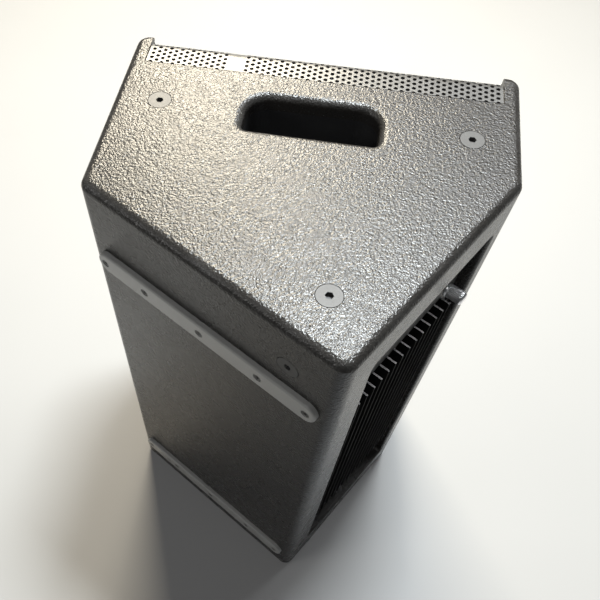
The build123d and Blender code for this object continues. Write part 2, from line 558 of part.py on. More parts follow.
with BuildPart() as gasket:
    with BuildSketch(baffle_face.offset(FRAME_FLANGE)):
        with Locations((0, WOOFER_Z)):
            Circle(FRAME_RADIUS)
            Circle(GASKET_INNER, mode=Mode.SUBTRACT)
    extrude(amount=GASKET)
    drill(woofer_screw_places, BOLT + SHAFT_FIT, 5.0)
save(gasket, "woofer_gasket")
pan_screws("woofer_screws", BOLT, BOLT_HEAD, BOLT_HEAD_HIGH, (20.0, woofer_screw_places))

# The surround is a half roll between the frame and the cone's edge.
land = -FRAME_FLANGE
roll_in = ROLL_MIDDLE - ROLL_RADIUS
with BuildPart() as surround:
    with BuildSketch(woofer_section):
        with BuildLine():
            Line((GASKET_INNER - FIT, land), (ROLL_MIDDLE + ROLL_RADIUS - ROLL_SKIN, land))
            ThreePointArc((ROLL_MIDDLE + ROLL_RADIUS - ROLL_SKIN, land),
                          (ROLL_MIDDLE, land - ROLL_RADIUS + ROLL_SKIN),
                          (roll_in + ROLL_SKIN, land))
            Polyline((roll_in + ROLL_SKIN, land), (roll_in, land))
            ThreePointArc((roll_in, land), (ROLL_MIDDLE, land - ROLL_RADIUS),
                          (ROLL_MIDDLE + ROLL_RADIUS - 0.05, land - ROLL_SKIN))
            Polyline((ROLL_MIDDLE + ROLL_RADIUS - 0.05, land - ROLL_SKIN),
                     (GASKET_INNER - FIT, land - ROLL_SKIN), (GASKET_INNER - FIT, land))
        make_face()
    revolve(axis=Axis(woofer_section.origin, woofer_section.y_dir))
save(surround, "woofer_surround")

# The spider is a corrugated disc that centres the coil.
spider_out, spider_depth, spider_skin = FRAME_FOOT_RADIUS - FRAME_WALL - 2, frame_floor, 0.8
spider_in = COIL_INNER + COIL_SKIN + FIT
folds = 6
fold_width = (spider_out - 8 - spider_in - 2) / (2 * folds)
fold_points = [(spider_in + 2 + fold_width * step, 2.4 * (step % 2)) for step in range(2 * folds + 1)]
fold_points = [(spider_in, 0)] + fold_points + [(spider_out, 0)]
turned(woofer_section,
       [(radius, spider_depth - spider_skin - lift) for radius, lift in fold_points]
       + [(radius, spider_depth - lift) for radius, lift in reversed(fold_points)],
       "woofer_spider")

# --- Woofer: moving pieces -----------------------------------------------------------------
cone_edge, cone_edge_depth = roll_in - FIT, land + 1.0
slope = (CONE_NECK_DEPTH - cone_edge_depth) / (cone_edge - CONE_NECK_RADIUS)


def cone_front(radius):
    """Depth of the cone's front at a radius."""
    return cone_edge_depth + (cone_edge - radius) * slope


turned(woofer_section, [(cone_edge, cone_edge_depth), (cone_edge, cone_edge_depth + CONE_SKIN),
                        (CONE_NECK_RADIUS, CONE_NECK_DEPTH + CONE_SKIN),
                        (CONE_NECK_RADIUS, CONE_NECK_DEPTH)], "woofer_cone")
cap_rim, cap_skin = cone_front(DUST_CAP_RADIUS) - 0.1, 1.0
dome = (DUST_CAP_RADIUS ** 2 + DUST_CAP_RISE ** 2) / (2 * DUST_CAP_RISE)
dome_centre = cap_rim - DUST_CAP_RISE + dome


def on_dome(radius, out):
    """A point of a sphere about the dome's centre, at a distance from the axis."""
    return (out, dome_centre - sqrt(radius ** 2 - out ** 2))


inner_out = sqrt((dome - cap_skin) ** 2 - (dome_centre - cap_rim) ** 2)
with BuildPart() as cap:
    with BuildSketch(woofer_section):
        with BuildLine():
            ThreePointArc(on_dome(dome, 0), on_dome(dome, DUST_CAP_RADIUS / 2),
                          on_dome(dome, DUST_CAP_RADIUS))
            Line(on_dome(dome, DUST_CAP_RADIUS), on_dome(dome - cap_skin, inner_out))
            ThreePointArc(on_dome(dome - cap_skin, inner_out),
                          on_dome(dome - cap_skin, inner_out / 2), on_dome(dome - cap_skin, 0))
            Line(on_dome(dome - cap_skin, 0), on_dome(dome, 0))
        make_face()
    revolve(axis=Axis(woofer_section.origin, woofer_section.y_dir))
save(cap, "woofer_dust_cap")
former_end, winding = FRAME_DEPTH + 14.0, 12.0
turned(woofer_section, [(COIL_INNER, CONE_NECK_DEPTH - 4), (COIL_INNER + COIL_SKIN, CONE_NECK_DEPTH - 4),
                        (COIL_INNER + COIL_SKIN, former_end - winding),
                        (coil_outer, former_end - winding), (coil_outer, former_end),
                        (COIL_INNER, former_end)], "woofer_voice_coil")

# --- Horn, driver and ports ----------------------------------------------------------------
with BuildPart() as horn:
    with BuildSketch(horn_face):
        Rectangle(HORN_WIDTH, HORN_HEIGHT)
    with BuildSketch(horn_face.offset(-HORN_DEPTH)):
        Circle(THROAT_RADIUS + HORN_WALL)
    loft()
    with BuildSketch(horn_face):
        RectangleRounded(2 * horn_flange_x, 2 * horn_flange_z, 8)
    extrude(amount=HORN_FLANGE)
    with BuildSketch(horn_face.offset(-HORN_DEPTH)):
        Circle(THROAT_PLATE_RADIUS)
    extrude(amount=HORN_FLANGE)
    with BuildSketch(horn_face.offset(HORN_FLANGE)):
        Rectangle(HORN_WIDTH - 2 * HORN_WALL, HORN_HEIGHT - 2 * HORN_WALL)
    with BuildSketch(horn_face.offset(-HORN_DEPTH)):
        Circle(THROAT_RADIUS)
    loft(mode=Mode.SUBTRACT)
    drill(horn_screw_places, WOOD_SCREW + SHAFT_FIT, 10.0)
save(horn, "horn")
pan_screws("horn_and_cup_screws", WOOD_SCREW, WOOD_HEAD, WOOD_HEAD_HIGH,
           (14.0, horn_screw_places), (11.0, cup_screw_places))

with BuildPart() as driver:
    with BuildSketch(horn_face.offset(-HORN_DEPTH)):
        Circle(DRIVER_RADIUS)
    extrude(amount=DRIVER_COVER - DRIVER_DEPTH)
    with BuildSketch(horn_face.offset(-HORN_DEPTH - DRIVER_DEPTH + DRIVER_COVER)):
        Circle(DRIVER_RADIUS - 6)
    extrude(amount=-DRIVER_COVER)
    fillet(driver.faces().sort_by(Axis.Y)[-1].edges(), 5)
    drill(on(horn_face, [(0, 0)], -HORN_DEPTH), THROAT_RADIUS, DRIVER_DEPTH / 2)
save(driver, "compression_driver")

with BuildPart() as ports:
    with BuildSketch(baffle_face):
        with Locations((port_side, HORN_Z), (-port_side, HORN_Z)):
            Circle(PORT_RADIUS + PORT_WALL)
            Circle(PORT_RADIUS, mode=Mode.SUBTRACT)
    extrude(amount=-PORT_LENGTH)
save(ports, "port_tubes")

# --- Amplifier: ledge, plate and heatsink --------------------------------------------------
with BuildPart() as ledge:
    with BuildSketch(rear_face.offset(-PLY)):
        block(open_left - PLY, open_right + LEDGE_BACK, open_low - LEDGE_BACK,
              open_high + LEDGE_BACK)
        block(ledge_left, ledge_right, ledge_low, ledge_high, mode=Mode.SUBTRACT)
    extrude(amount=-LEDGE)
    drill(amp_screw_places, SMALL_SCREW, 14.0)
save(ledge, "amp_ledge")

xlr_z = HEIGHT - CONNECTOR_Z
knob_s, knob_z = open_right - KNOB_FROM_SIDE, HEIGHT - KNOB_Z
toroid_s = ledge_right - TOROID_GAP - TOROID_RADIUS
xlr_points = [(XLR_IN_S, xlr_z), (XLR_OUT_S, xlr_z)]
xlr_radius, xlr_cavity, xlr_depth, xlr_flange = 11.8, 9.6, 28.0, 2.0
xlr_screw_points = [(s + side * XLR_SCREW_S, z + side * XLR_SCREW_Z)
                    for s, z in xlr_points for side in (-1, 1)]
xlr_screw_places = on(amp_face, xlr_screw_points, xlr_flange)
light_pitch = 9.0
light_points = [(knob_s + step * light_pitch, xlr_z) for step in (-1, 0, 1)]
light_radius = 1.6
inlet_wide, inlet_high, inlet_deep, inlet_rim = 27.0, 20.0, 18.0, 2.0
switch_wide, switch_high, switch_deep, switch_rim = 13.0, 19.4, 14.0, 1.6
cap_radius = 4.0
with BuildPart() as plate:
    with BuildSketch(amp_face.offset(plate_back)) as plate_sketch:
        block(open_left + AMP_GAP, open_right - AMP_GAP, open_low + AMP_GAP, open_high - AMP_GAP)
        fillet(plate_sketch.vertices(), OPENING_CORNER - AMP_GAP)
        block(FIN_FIRST - FIN_THICK, fin_last + FIN_THICK, fin_low - 1, fin_high + 1,
              mode=Mode.SUBTRACT)
        with Locations(*xlr_points):
            Circle(xlr_radius + FIT, mode=Mode.SUBTRACT)
        with Locations((BUTTON_S, xlr_z)):
            Circle(cap_radius + FIT, mode=Mode.SUBTRACT)
        with Locations((knob_s, knob_z)):
            Circle(SHAFT_RADIUS + 0.7, mode=Mode.SUBTRACT)
        with Locations(*light_points):
            Circle(light_radius + SHAFT_FIT, mode=Mode.SUBTRACT)
        with Locations((INLET_S, MAINS_Z)):
            Rectangle(inlet_wide + AMP_GAP, inlet_high + AMP_GAP, mode=Mode.SUBTRACT)
        with Locations((SWITCH_S, MAINS_Z)):
            Rectangle(switch_wide + AMP_GAP, switch_high + AMP_GAP, mode=Mode.SUBTRACT)
        with Locations((toroid_s, MAINS_Z)):
            Circle(BOLT, mode=Mode.SUBTRACT)
    extrude(amount=AMP_SHEET)
    drill(amp_screw_places, SMALL_SCREW + SHAFT_FIT, 5.0)
    drill(xlr_screw_places, SMALL_SCREW, 6.0)
save(plate, "amp_plate")

fin_top = RECESS - FIN_BELOW
sink_right = ledge_right - 3
board_left, board_right = FIN_FIRST + 2, fin_last + 5
board_low, board_high = fin_low + 10, fin_high - 15
board_front = plate_back - SINK_BASE - BOARD_GAP
pillar_points = [(s, z) for s in (board_left + 6, board_right - 6)
                 for z in (board_low + 8, (board_low + board_high) / 2, board_high - 8)]
with BuildPart() as heatsink:
    with BuildSketch(amp_face.offset(plate_back)):
        block(ledge_left + FIT, sink_right, fin_low - 6, fin_high + 6)
    extrude(amount=-SINK_BASE)
    with BuildSketch(amp_face.offset(plate_back)):
        for fin in range(fin_count):
            fin_s = FIN_FIRST + fin * FIN_PITCH
            block(fin_s - FIN_THICK / 2, fin_s + FIN_THICK / 2, fin_low, fin_high)
    extrude(amount=fin_top - plate_back)
save(heatsink, "heatsink")

# --- Amplifier: electronics ----------------------------------------------------------------
with BuildPart() as transistors:
    with BuildSketch(amp_face.offset(plate_back - SINK_BASE)):
        with Locations(*[(s, z) for s in (board_left + 20, board_right - 24)
                         for z in (fin_low + 70, fin_low + 110, fin_low + 150)]):
            Rectangle(TRANSISTOR_WIDE, TRANSISTOR_HIGH)
    extrude(amount=-TRANSISTOR_THICK)
save(transistors, "output_transistors")

with BuildPart() as pillars:
    with BuildSketch(amp_face.offset(plate_back - SINK_BASE)):
        with Locations(*pillar_points):
            RegularPolygon(PILLAR_RADIUS, 6)
    extrude(amount=-BOARD_GAP)
    drill(turned_over(on(amp_face, pillar_points, board_front - BOARD)), SMALL_SCREW, 10.0)
save(pillars, "board_pillars")

board_screw_places = turned_over(on(amp_face, pillar_points, board_front - BOARD))
with BuildPart() as board:
    with BuildSketch(amp_face.offset(board_front)):
        block(board_left, board_right, board_low, board_high)
    extrude(amount=-BOARD)
    drill(board_screw_places, SMALL_SCREW + SHAFT_FIT, 5.0)
save(board, "amp_board")

with BuildPart() as capacitors:
    with BuildSketch(amp_face.offset(board_front - BOARD)):
        with Locations(*[(board_left + 34 + column * CAPACITOR_PITCH,
                          board_high - 30 - row * CAPACITOR_PITCH)
                         for column in (0, 1) for row in (0, 1)]):
            Circle(CAPACITOR_RADIUS)
    extrude(amount=-CAPACITOR_TALL)
save(capacitors, "capacitors")

with BuildPart() as toroid:
    with BuildSketch(amp_face.offset(plate_back)):
        with Locations((toroid_s, MAINS_Z)):
            Circle(TOROID_RADIUS)
            Circle(TOROID_HOLE, mode=Mode.SUBTRACT)
    extrude(amount=-TOROID_THICK)
    fillet(toroid.edges().filter_by(GeomType.CIRCLE), 5)
save(toroid, "mains_transformer")
toroid_end = plate_back - TOROID_THICK
bolt_place = turned_over(on(amp_face, [(toroid_s, MAINS_Z)], toroid_end - 2))
with BuildPart() as clamp:
    with BuildSketch(amp_face.offset(toroid_end)):
        with Locations((toroid_s, MAINS_Z)):
            Circle(TOROID_RADIUS - 6)
    extrude(amount=-2)
    with Locations(*bolt_place):
        Cylinder(BOLT, TOROID_THICK + 2 + AMP_SHEET - 0.2, align=DOWN)
        Cylinder(BOLT_HEAD, BOLT_HEAD_HIGH, align=UP)
save(clamp, "transformer_clamp")

# --- Amplifier: connectors and controls ----------------------------------------------------
tab_wide, tab_low, tab_high, tab_travel = 6.0, 9.9, 11.4, 1.5


def xlr_shell(point, name, latch):
    """A flanged connector shell with an open mouth and, on the input, a slot for the latch."""
    with BuildPart() as shell:
        with BuildSketch(amp_face):
            with Locations(point):
                RectangleRounded(XLR_WIDE, XLR_HIGH, XLR_CORNER)
        extrude(amount=xlr_flange)
        with Locations(*on(amp_face, [point], xlr_flange)):
            Cylinder(xlr_radius, xlr_depth, align=DOWN)
            Cylinder(xlr_cavity, XLR_MOUTH, align=DOWN, mode=Mode.SUBTRACT)
        drill(on(amp_face, [(point[0] + side * XLR_SCREW_S, point[1] + side * XLR_SCREW_Z)
                            for side in (-1, 1)], xlr_flange), SMALL_SCREW + SHAFT_FIT, 5.0)
        if latch:
            with BuildSketch(amp_face.offset(xlr_flange)):
                with Locations((point[0], point[1] + 11)):
                    Rectangle(tab_wide + 2 * FIT, 3.4)
            extrude(amount=-12, mode=Mode.SUBTRACT)
    save(shell, name)


def contacts(point):
    """The three contacts of a connector."""
    return ring(4.05, 3, -90, point)


xlr_shell(xlr_points[0], "xlr_input_shell", latch=True)
xlr_shell(xlr_points[1], "xlr_output_shell", latch=False)
with BuildPart() as insert:
    with Locations(*on(amp_face, [xlr_points[0]], xlr_flange - XLR_MOUTH)):
        Cylinder(xlr_cavity - 2.4, XLR_MOUTH - 1, align=UP)
    drill(on(amp_face, contacts(xlr_points[0]), xlr_flange), 1.3, 12.0)
save(insert, "xlr_input_insert")
with BuildPart() as pins:
    with Locations(*on(amp_face, contacts(xlr_points[1]), xlr_flange - XLR_MOUTH)):
        Cylinder(1.2, XLR_MOUTH - 4, align=UP)
    fillet(pins.faces().filter_by(lambda face: abs(
        face.normal_at().dot(rear_face.z_dir) - 1) < 1e-6).edges(), 0.6)
save(pins, "xlr_output_pins")
with BuildPart() as tab:
    with BuildSketch(amp_face.offset(xlr_flange + 1.6)):
        with Locations((XLR_IN_S, xlr_z + (tab_low + tab_high) / 2)):
            Rectangle(tab_wide, tab_high - tab_low)
    extrude(amount=-11)
save(tab, "latch_tab")
pan_screws("small_screws", SMALL_SCREW, SMALL_HEAD, SMALL_HEAD_HIGH,
           (14.0, amp_screw_places), (7.0, board_screw_places), (6.0, xlr_screw_places),
           (10.0, pole_screw_places))

with BuildPart() as button:
    with Locations(*on(amp_face, [(BUTTON_S, xlr_z)], 3.0)):
        Cylinder(cap_radius, 11.0, align=DOWN)
    fillet(button.edges().filter_by(GeomType.CIRCLE).sort_by(
        lambda edge: edge.center().dot(rear_face.z_dir))[-1], 0.8)
save(button, "mode_button")
with BuildPart() as button_switch:
    with BuildSketch(amp_face.offset(plate_back)):
        with Locations((BUTTON_S, xlr_z)):
            Rectangle(14, 14)
    extrude(amount=-12)
    with Locations(*on(amp_face, [(BUTTON_S, xlr_z)], plate_back)):
        Cylinder(cap_radius + FIT, 7.5, align=DOWN, mode=Mode.SUBTRACT)
save(button_switch, "mode_switch")

with BuildPart() as lights:
    with Locations(*on(amp_face, light_points, 0.8)):
        Cylinder(light_radius, 6.0, align=DOWN)
    fillet(lights.faces().filter_by(lambda face: abs(
        face.normal_at().dot(rear_face.z_dir) - 1) < 1e-6).edges(), 0.7)
save(lights, "signal_lights")

knob_place = on(amp_face, [(knob_s, knob_z)])
knob_base, knob_top = 2.0, RECESS + KNOB_PROUD
with BuildPart() as pot:
    with Locations(*[place * Location((0, 0, plate_back)) for place in knob_place]):
        Cylinder(8.0, 9.0, align=DOWN)
        Cylinder(SHAFT_RADIUS + 0.6, AMP_SHEET + 1.4, align=UP)
        Cylinder(SHAFT_RADIUS, AMP_SHEET + 11.0, align=UP)
save(pot, "level_pot")
with BuildPart() as knob:
    with Locations(*[place * Location((0, 0, knob_base)) for place in knob_place]):
        Cylinder(KNOB_RADIUS, knob_top - knob_base, align=UP)
    fillet(knob.edges().filter_by(GeomType.CIRCLE).sort_by(
        lambda edge: edge.center().dot(rear_face.z_dir))[-1], 1.0)
    with Locations(*[place * Location((0, 0, knob_base)) for place in knob_place]):
        Cylinder(SHAFT_RADIUS + SHAFT_FIT, 10.0, align=UP, mode=Mode.SUBTRACT)
    with BuildSketch(amp_face.offset(knob_top)):
        with Locations((knob_s, knob_z + KNOB_RADIUS - 1.6)):
            Rectangle(0.9, 3.2)
    extrude(amount=-0.6, mode=Mode.SUBTRACT)
save(knob, "level_knob")

with BuildPart() as inlet:
    with BuildSketch(amp_face):
        with Locations((INLET_S, MAINS_Z)):
            RectangleRounded(inlet_wide + 4, inlet_high + 4, 3)
    extrude(amount=inlet_rim)
    with BuildSketch(amp_face):
        with Locations((INLET_S, MAINS_Z)):
            Rectangle(inlet_wide, inlet_high)
    extrude(amount=-inlet_deep)
    with BuildSketch(amp_face.offset(inlet_rim)) as mouth:
        with Locations((INLET_S, MAINS_Z)):
            Rectangle(inlet_wide - 2.6, inlet_high - 3.4)
        chamfer(mouth.vertices().group_by(Axis.Y)[-1], 4)
    extrude(amount=-inlet_deep, mode=Mode.SUBTRACT)
save(inlet, "mains_inlet")
with BuildPart() as blades:
    with BuildSketch(amp_face.offset(inlet_rim - inlet_deep)):
        with Locations((INLET_S - 7, MAINS_Z - 2), (INLET_S, MAINS_Z + 2), (INLET_S + 7, MAINS_Z - 2)):
            Rectangle(2, 4)
    extrude(amount=inlet_deep - 4)
save(blades, "inlet_pins")

rocker_long, rocker_wide, rocker_tilt = 8.0, 10.0, 9.0
pivot_height = 0.4
with BuildPart() as switch_body:
    with BuildSketch(amp_face):
        with Locations((SWITCH_S, MAINS_Z)):
            RectangleRounded(switch_wide + 2.4, switch_high + 2.4, 1.2)
    extrude(amount=switch_rim)
    with BuildSketch(amp_face):
        with Locations((SWITCH_S, MAINS_Z)):
            Rectangle(switch_wide, switch_high)
    extrude(amount=-switch_deep)
    with BuildSketch(amp_face.offset(switch_rim)):
        with Locations((SWITCH_S, MAINS_Z)):
            Rectangle(rocker_wide + 2 * FIT, 2 * rocker_long + 1.2)
    extrude(amount=-switch_rim - rocker_long - 0.6, mode=Mode.SUBTRACT)
save(switch_body, "mains_switch")
rocker_pivot = amp_face.location * Location((SWITCH_S, MAINS_Z, pivot_height))
rocker_side = Plane(rocker_pivot.position, x_dir=(0, 0, 1), z_dir=amp_face.x_dir)
with BuildPart() as rocker:
    with BuildSketch(rocker_side.offset(-rocker_wide / 2)):
        with BuildLine():
            ThreePointArc((-rocker_long, 0), (0, rocker_long), (rocker_long, 0))
            Polyline((rocker_long, 0), (rocker_long - 0.4, -3.2), (0, -1.8),
                     (-rocker_long + 0.4, -3.2), (-rocker_long, 0))
        make_face()
        if rocker_side.y_dir.dot(amp_face.z_dir) > 0:
            mirror(about=Plane.XZ, mode=Mode.REPLACE)
    extrude(amount=rocker_wide)
    rocker.part = rocker.part.rotate(Axis(rocker_pivot.position, amp_face.x_dir), -rocker_tilt)
save(rocker, "rocker")

# --- Terminal block on a spoke of the basket, and the leads to it ----------------------------
lead_radius, lead_apart, lead_out = 1.8, 9.0, 34.0
terminal_depth, terminal_high, terminal_thick, terminal_sunk = 48.0, 14.0, 12.0, 1.0
spoke_slope = (frame_in - FRAME_FOOT_RADIUS) / (FRAME_DEPTH - frame_wall_top)
spoke_radius = FRAME_FOOT_RADIUS + (FRAME_DEPTH - terminal_depth) * spoke_slope
spoke_way = Vector(-1, 0, 1).normalized()
off_spoke = (spoke_way + Vector(0, spoke_slope, 0)).normalized()
terminal_face = Plane(woofer_section.origin + spoke_way * spoke_radius
                      + Vector(0, terminal_depth, 0), x_dir=(1, 0, 1), z_dir=off_spoke)
with BuildPart() as terminals:
    with BuildSketch(terminal_face.offset(-terminal_sunk)):
        Rectangle(2 * lead_apart, terminal_high)
    extrude(amount=terminal_sunk + terminal_thick)
    add(basket.part, mode=Mode.SUBTRACT)
save(terminals, "woofer_terminals")

lead_s, lead_z = board_left + 18.0, (board_low + board_high) / 2 + 25.0
board_back = amp_face.offset(board_front - BOARD)
inward = -board_back.z_dir
lead_run = 0.0
with BuildPart() as leads:
    for side in (-lead_apart / 2, lead_apart / 2):
        start = board_back.from_local_coords((lead_s, lead_z + side, 0))
        end = terminal_face.from_local_coords((side, 0, terminal_thick))
        points = [start, start + inward * lead_out, end + off_spoke * lead_out, end]
        runs = [after - before for before, after in zip(points, points[1:])]
        radii = []
        for before, after in zip(runs, runs[1:]):
            turn = radians(before.get_angle(after))
            radii.append(0.45 * min(before.length, after.length) / tan(turn / 2))
        with BuildLine() as route:
            FilletPolyline(*points, radius=radii)
        with BuildSketch(Plane(start, z_dir=inward)):
            Circle(lead_radius)
        sweep(path=route.wires()[0])
        lead_run += route.wires()[0].length
        print("lead radii", [round(radius) for radius in radii])
lead_share = leads.part.volume / (lead_run * pi * lead_radius ** 2)
print("leads' volume over section times length", round(lead_share, 3))
save(leads, "woofer_leads")
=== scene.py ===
# %% [markdown]
# # A stage monitor wedge
# A floor monitor is a plywood box with a loudspeaker behind a perforated steel grille. This one
# stands on its end, so we look down on the other end, with its hand slot and fly points. The hard
# parts come ready made from a CAD model. Our work here is what CAD does badly: the sheet with its
# thousands of punched holes, the soft foam and wool, the fine mouldings, and above all the finishes.
# We load the model first, and keep the size of its box.

# %% Load the model
import json
import math
import bpy
from mathutils import Matrix, Vector, noise


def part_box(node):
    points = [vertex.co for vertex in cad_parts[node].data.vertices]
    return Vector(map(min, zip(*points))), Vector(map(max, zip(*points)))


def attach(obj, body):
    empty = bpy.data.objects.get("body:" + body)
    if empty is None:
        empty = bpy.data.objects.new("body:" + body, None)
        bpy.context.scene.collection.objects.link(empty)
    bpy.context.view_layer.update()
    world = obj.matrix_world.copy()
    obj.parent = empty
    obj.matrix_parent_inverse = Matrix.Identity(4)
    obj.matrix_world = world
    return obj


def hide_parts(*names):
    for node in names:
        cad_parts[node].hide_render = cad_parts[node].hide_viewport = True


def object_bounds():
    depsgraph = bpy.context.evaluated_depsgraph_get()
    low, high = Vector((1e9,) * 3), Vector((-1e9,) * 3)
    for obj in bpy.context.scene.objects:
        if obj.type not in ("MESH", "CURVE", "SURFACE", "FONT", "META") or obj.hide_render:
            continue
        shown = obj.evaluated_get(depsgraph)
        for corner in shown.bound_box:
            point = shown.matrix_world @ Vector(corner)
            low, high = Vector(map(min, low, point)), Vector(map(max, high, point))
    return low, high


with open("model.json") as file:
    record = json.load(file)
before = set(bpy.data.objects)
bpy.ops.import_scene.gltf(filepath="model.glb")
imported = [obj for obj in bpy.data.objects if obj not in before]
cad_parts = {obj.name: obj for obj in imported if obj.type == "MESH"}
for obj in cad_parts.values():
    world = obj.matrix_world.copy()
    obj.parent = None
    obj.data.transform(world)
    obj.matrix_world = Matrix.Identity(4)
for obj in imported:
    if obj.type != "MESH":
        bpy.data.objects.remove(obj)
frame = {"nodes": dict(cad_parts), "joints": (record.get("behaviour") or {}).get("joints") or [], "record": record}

cad_low, cad_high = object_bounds()
centre = (cad_low + cad_high) / 2
height = cad_high.z - cad_low.z
slot_of = {part["node"]: part["material_slot"] for part in frame["record"]["subparts"]}
joints = {joint["name"]: joint for joint in frame["joints"]}
print(len(frame["nodes"]), "nodes,", len(joints), "joints, box", cad_low, cad_high)

# %% [markdown]
# The cabinet's section is a five-sided figure. Two of its faces slant: the floor face, which lies on
# the stage in use, and the rear face, which holds the amplifier. Several finishes need to know which
# way a face looks, so we name the five directions once. The knob turns about the rear face's
# direction, so its joint tells us that one, and the mount on the skid rails tells us the other.

# %% Directions of the faces
UP = Vector((0, 0, 1))
rear_out = Vector(joints["level_turn"]["axis"])
mount_axes = {mount["name"]: Vector(mount["axis"]) for mount in frame["record"]["mounts"]}
floor_out = mount_axes["rail_rest"]
face_directions = [UP, Vector((1, 0, 0)), Vector((0, 1, 0)), rear_out, floor_out]
print("rear face looks to", rear_out, "and floor face to", floor_out)

# %% [markdown]
# ## Camera, floor and light
# The camera stands behind and above the cabinet and looks steeply down on it. Vertical edges run
# together towards the floor, as they do when someone holds a camera over a box. The lens is shifted
# to frame the cabinet away from its axis, and the camera leans by a degree or two.

# %% Camera
CAMERA_FROM_CENTRE = Vector((-0.0185, 0.3940, 0.6933))
TARGET_FROM_CENTRE = Vector((0.0717, 0.0013, 0.0022))
LEAN = math.radians(-1.63)
camera_data = bpy.data.cameras.new("camera")
camera_data.lens = 40.4
camera_data.shift_x = 0.1375
camera_data.shift_y = 0.082
camera = bpy.data.objects.new("camera", camera_data)
bpy.context.scene.collection.objects.link(camera)
camera.location = centre + CAMERA_FROM_CENTRE
look = (TARGET_FROM_CENTRE - CAMERA_FROM_CENTRE).to_track_quat("-Z", "Y")
camera.rotation_euler = (look.to_matrix() @ Matrix.Rotation(LEAN, 3, "Z")).to_euler()
bpy.context.scene.camera = camera
print("camera at", camera.location)

# %% [markdown]
# Black paint shows its shape only by what it reflects. A textured black panel looks silver when a
# soft light stands where the camera sees its reflection. The two strongest lights are on the grille's
# side, where the top panel mirrors them: a warm one for the long side's corner, and a cool one, which
# hangs higher, for the ridge. A weaker one hangs between them. The side and back lights are the
# weakest, because the floor face should stay dark. The sky is dim for the same reason.


# %% Lights
def soft_light(name, place, aim, size, watts, colour):
    """A rectangular soft light that looks at a point."""
    data = bpy.data.lights.new(name, "AREA")
    data.shape = "RECTANGLE"
    data.size, data.size_y = size
    data.energy = watts
    data.color = colour
    light = bpy.data.objects.new(name, data)
    bpy.context.scene.collection.objects.link(light)
    light.location = place
    light.rotation_euler = (Vector(aim) - Vector(place)).to_track_quat("-Z", "Y").to_euler()
    return light


top_middle = Vector((0, 0, height))
soft_light("ceiling_light", (-0.5, -1.1, 2.0), top_middle, (1.2, 0.8), 24, (0.96, 0.98, 1.0))
soft_light("warm_light", (0.45, -1.7, 1.8), top_middle, (0.8, 0.7), 84, (1.0, 0.9, 0.72))
soft_light("ridge_light", (-0.2, -0.55, 2.2), top_middle, (0.4, 0.3), 66, (0.92, 0.98, 1.0))
soft_light("side_light", (2.2, 1.3, 1.6), top_middle, (0.7, 0.5), 11, (1.0, 0.98, 0.95))
soft_light("back_light", (0.1, 0.95, 2.4), top_middle, (0.4, 0.3), 7, (1.0, 1.0, 1.0))
world = bpy.data.worlds.new("studio")
world.use_nodes = True
world.node_tree.nodes["Background"].inputs["Color"].default_value = (0.93, 0.95, 1.0, 1)
world.node_tree.nodes["Background"].inputs["Strength"].default_value = 0.06
bpy.context.scene.world = world
bpy.context.scene.view_settings.view_transform = "Standard"
print(len(bpy.data.lights), "lights")

# %% [markdown]
# ## Writing finishes as sums
# A finish is a tree of small nodes. Wiring them one at a time is slow to write and slower to read, so
# one class wraps a socket and lets us use +, - and * on it. Each sum adds the Math node that it
# stands for. Every other node comes from one method, which takes its type, its settings, and what
# goes into its sockets. Numbers that don't vary stay plain Python numbers.


# %% A socket that can be added and multiplied
class Value:
    """The output of a node in a finish, for use in sums."""

    def __init__(self, finish, socket):
        self.finish = finish
        self.socket = socket

    def sum(self, operation, *values):
        return self.finish.node("ShaderNodeMath", {"operation": operation}, dict(enumerate(values)))

    def __add__(self, other):
        return self.sum("ADD", self, other)

    def __sub__(self, other):
        return self.sum("SUBTRACT", self, other)

    def __rsub__(self, other):
        return self.sum("SUBTRACT", other, self)

    def __mul__(self, other):
        return self.sum("MULTIPLY", self, other)

    __radd__ = __add__
    __rmul__ = __mul__

    def larger(self, other):
        return self.sum("MAXIMUM", self, other)

    def size(self):
        return self.sum("ABSOLUTE", self)

    def between(self, low, high):
        """0 below low, 1 above high, and a soft step from one to the other."""
        ends = {"Value": self, "From Min": low, "From Max": high}
        return self.finish.node("ShaderNodeMapRange", {"interpolation_type": "SMOOTHSTEP"}, ends)


# %% [markdown]
# A finish holds the tree, and the few patterns that most of our finishes share: cloudy noise, cells,
# a bump, and a mask that finds the rounded edges. That mask needs no special node. On a flat face the
# normal points exactly along one of our five directions, and only on a rounding does it point between
# them, so one less the best match is zero on the flats.


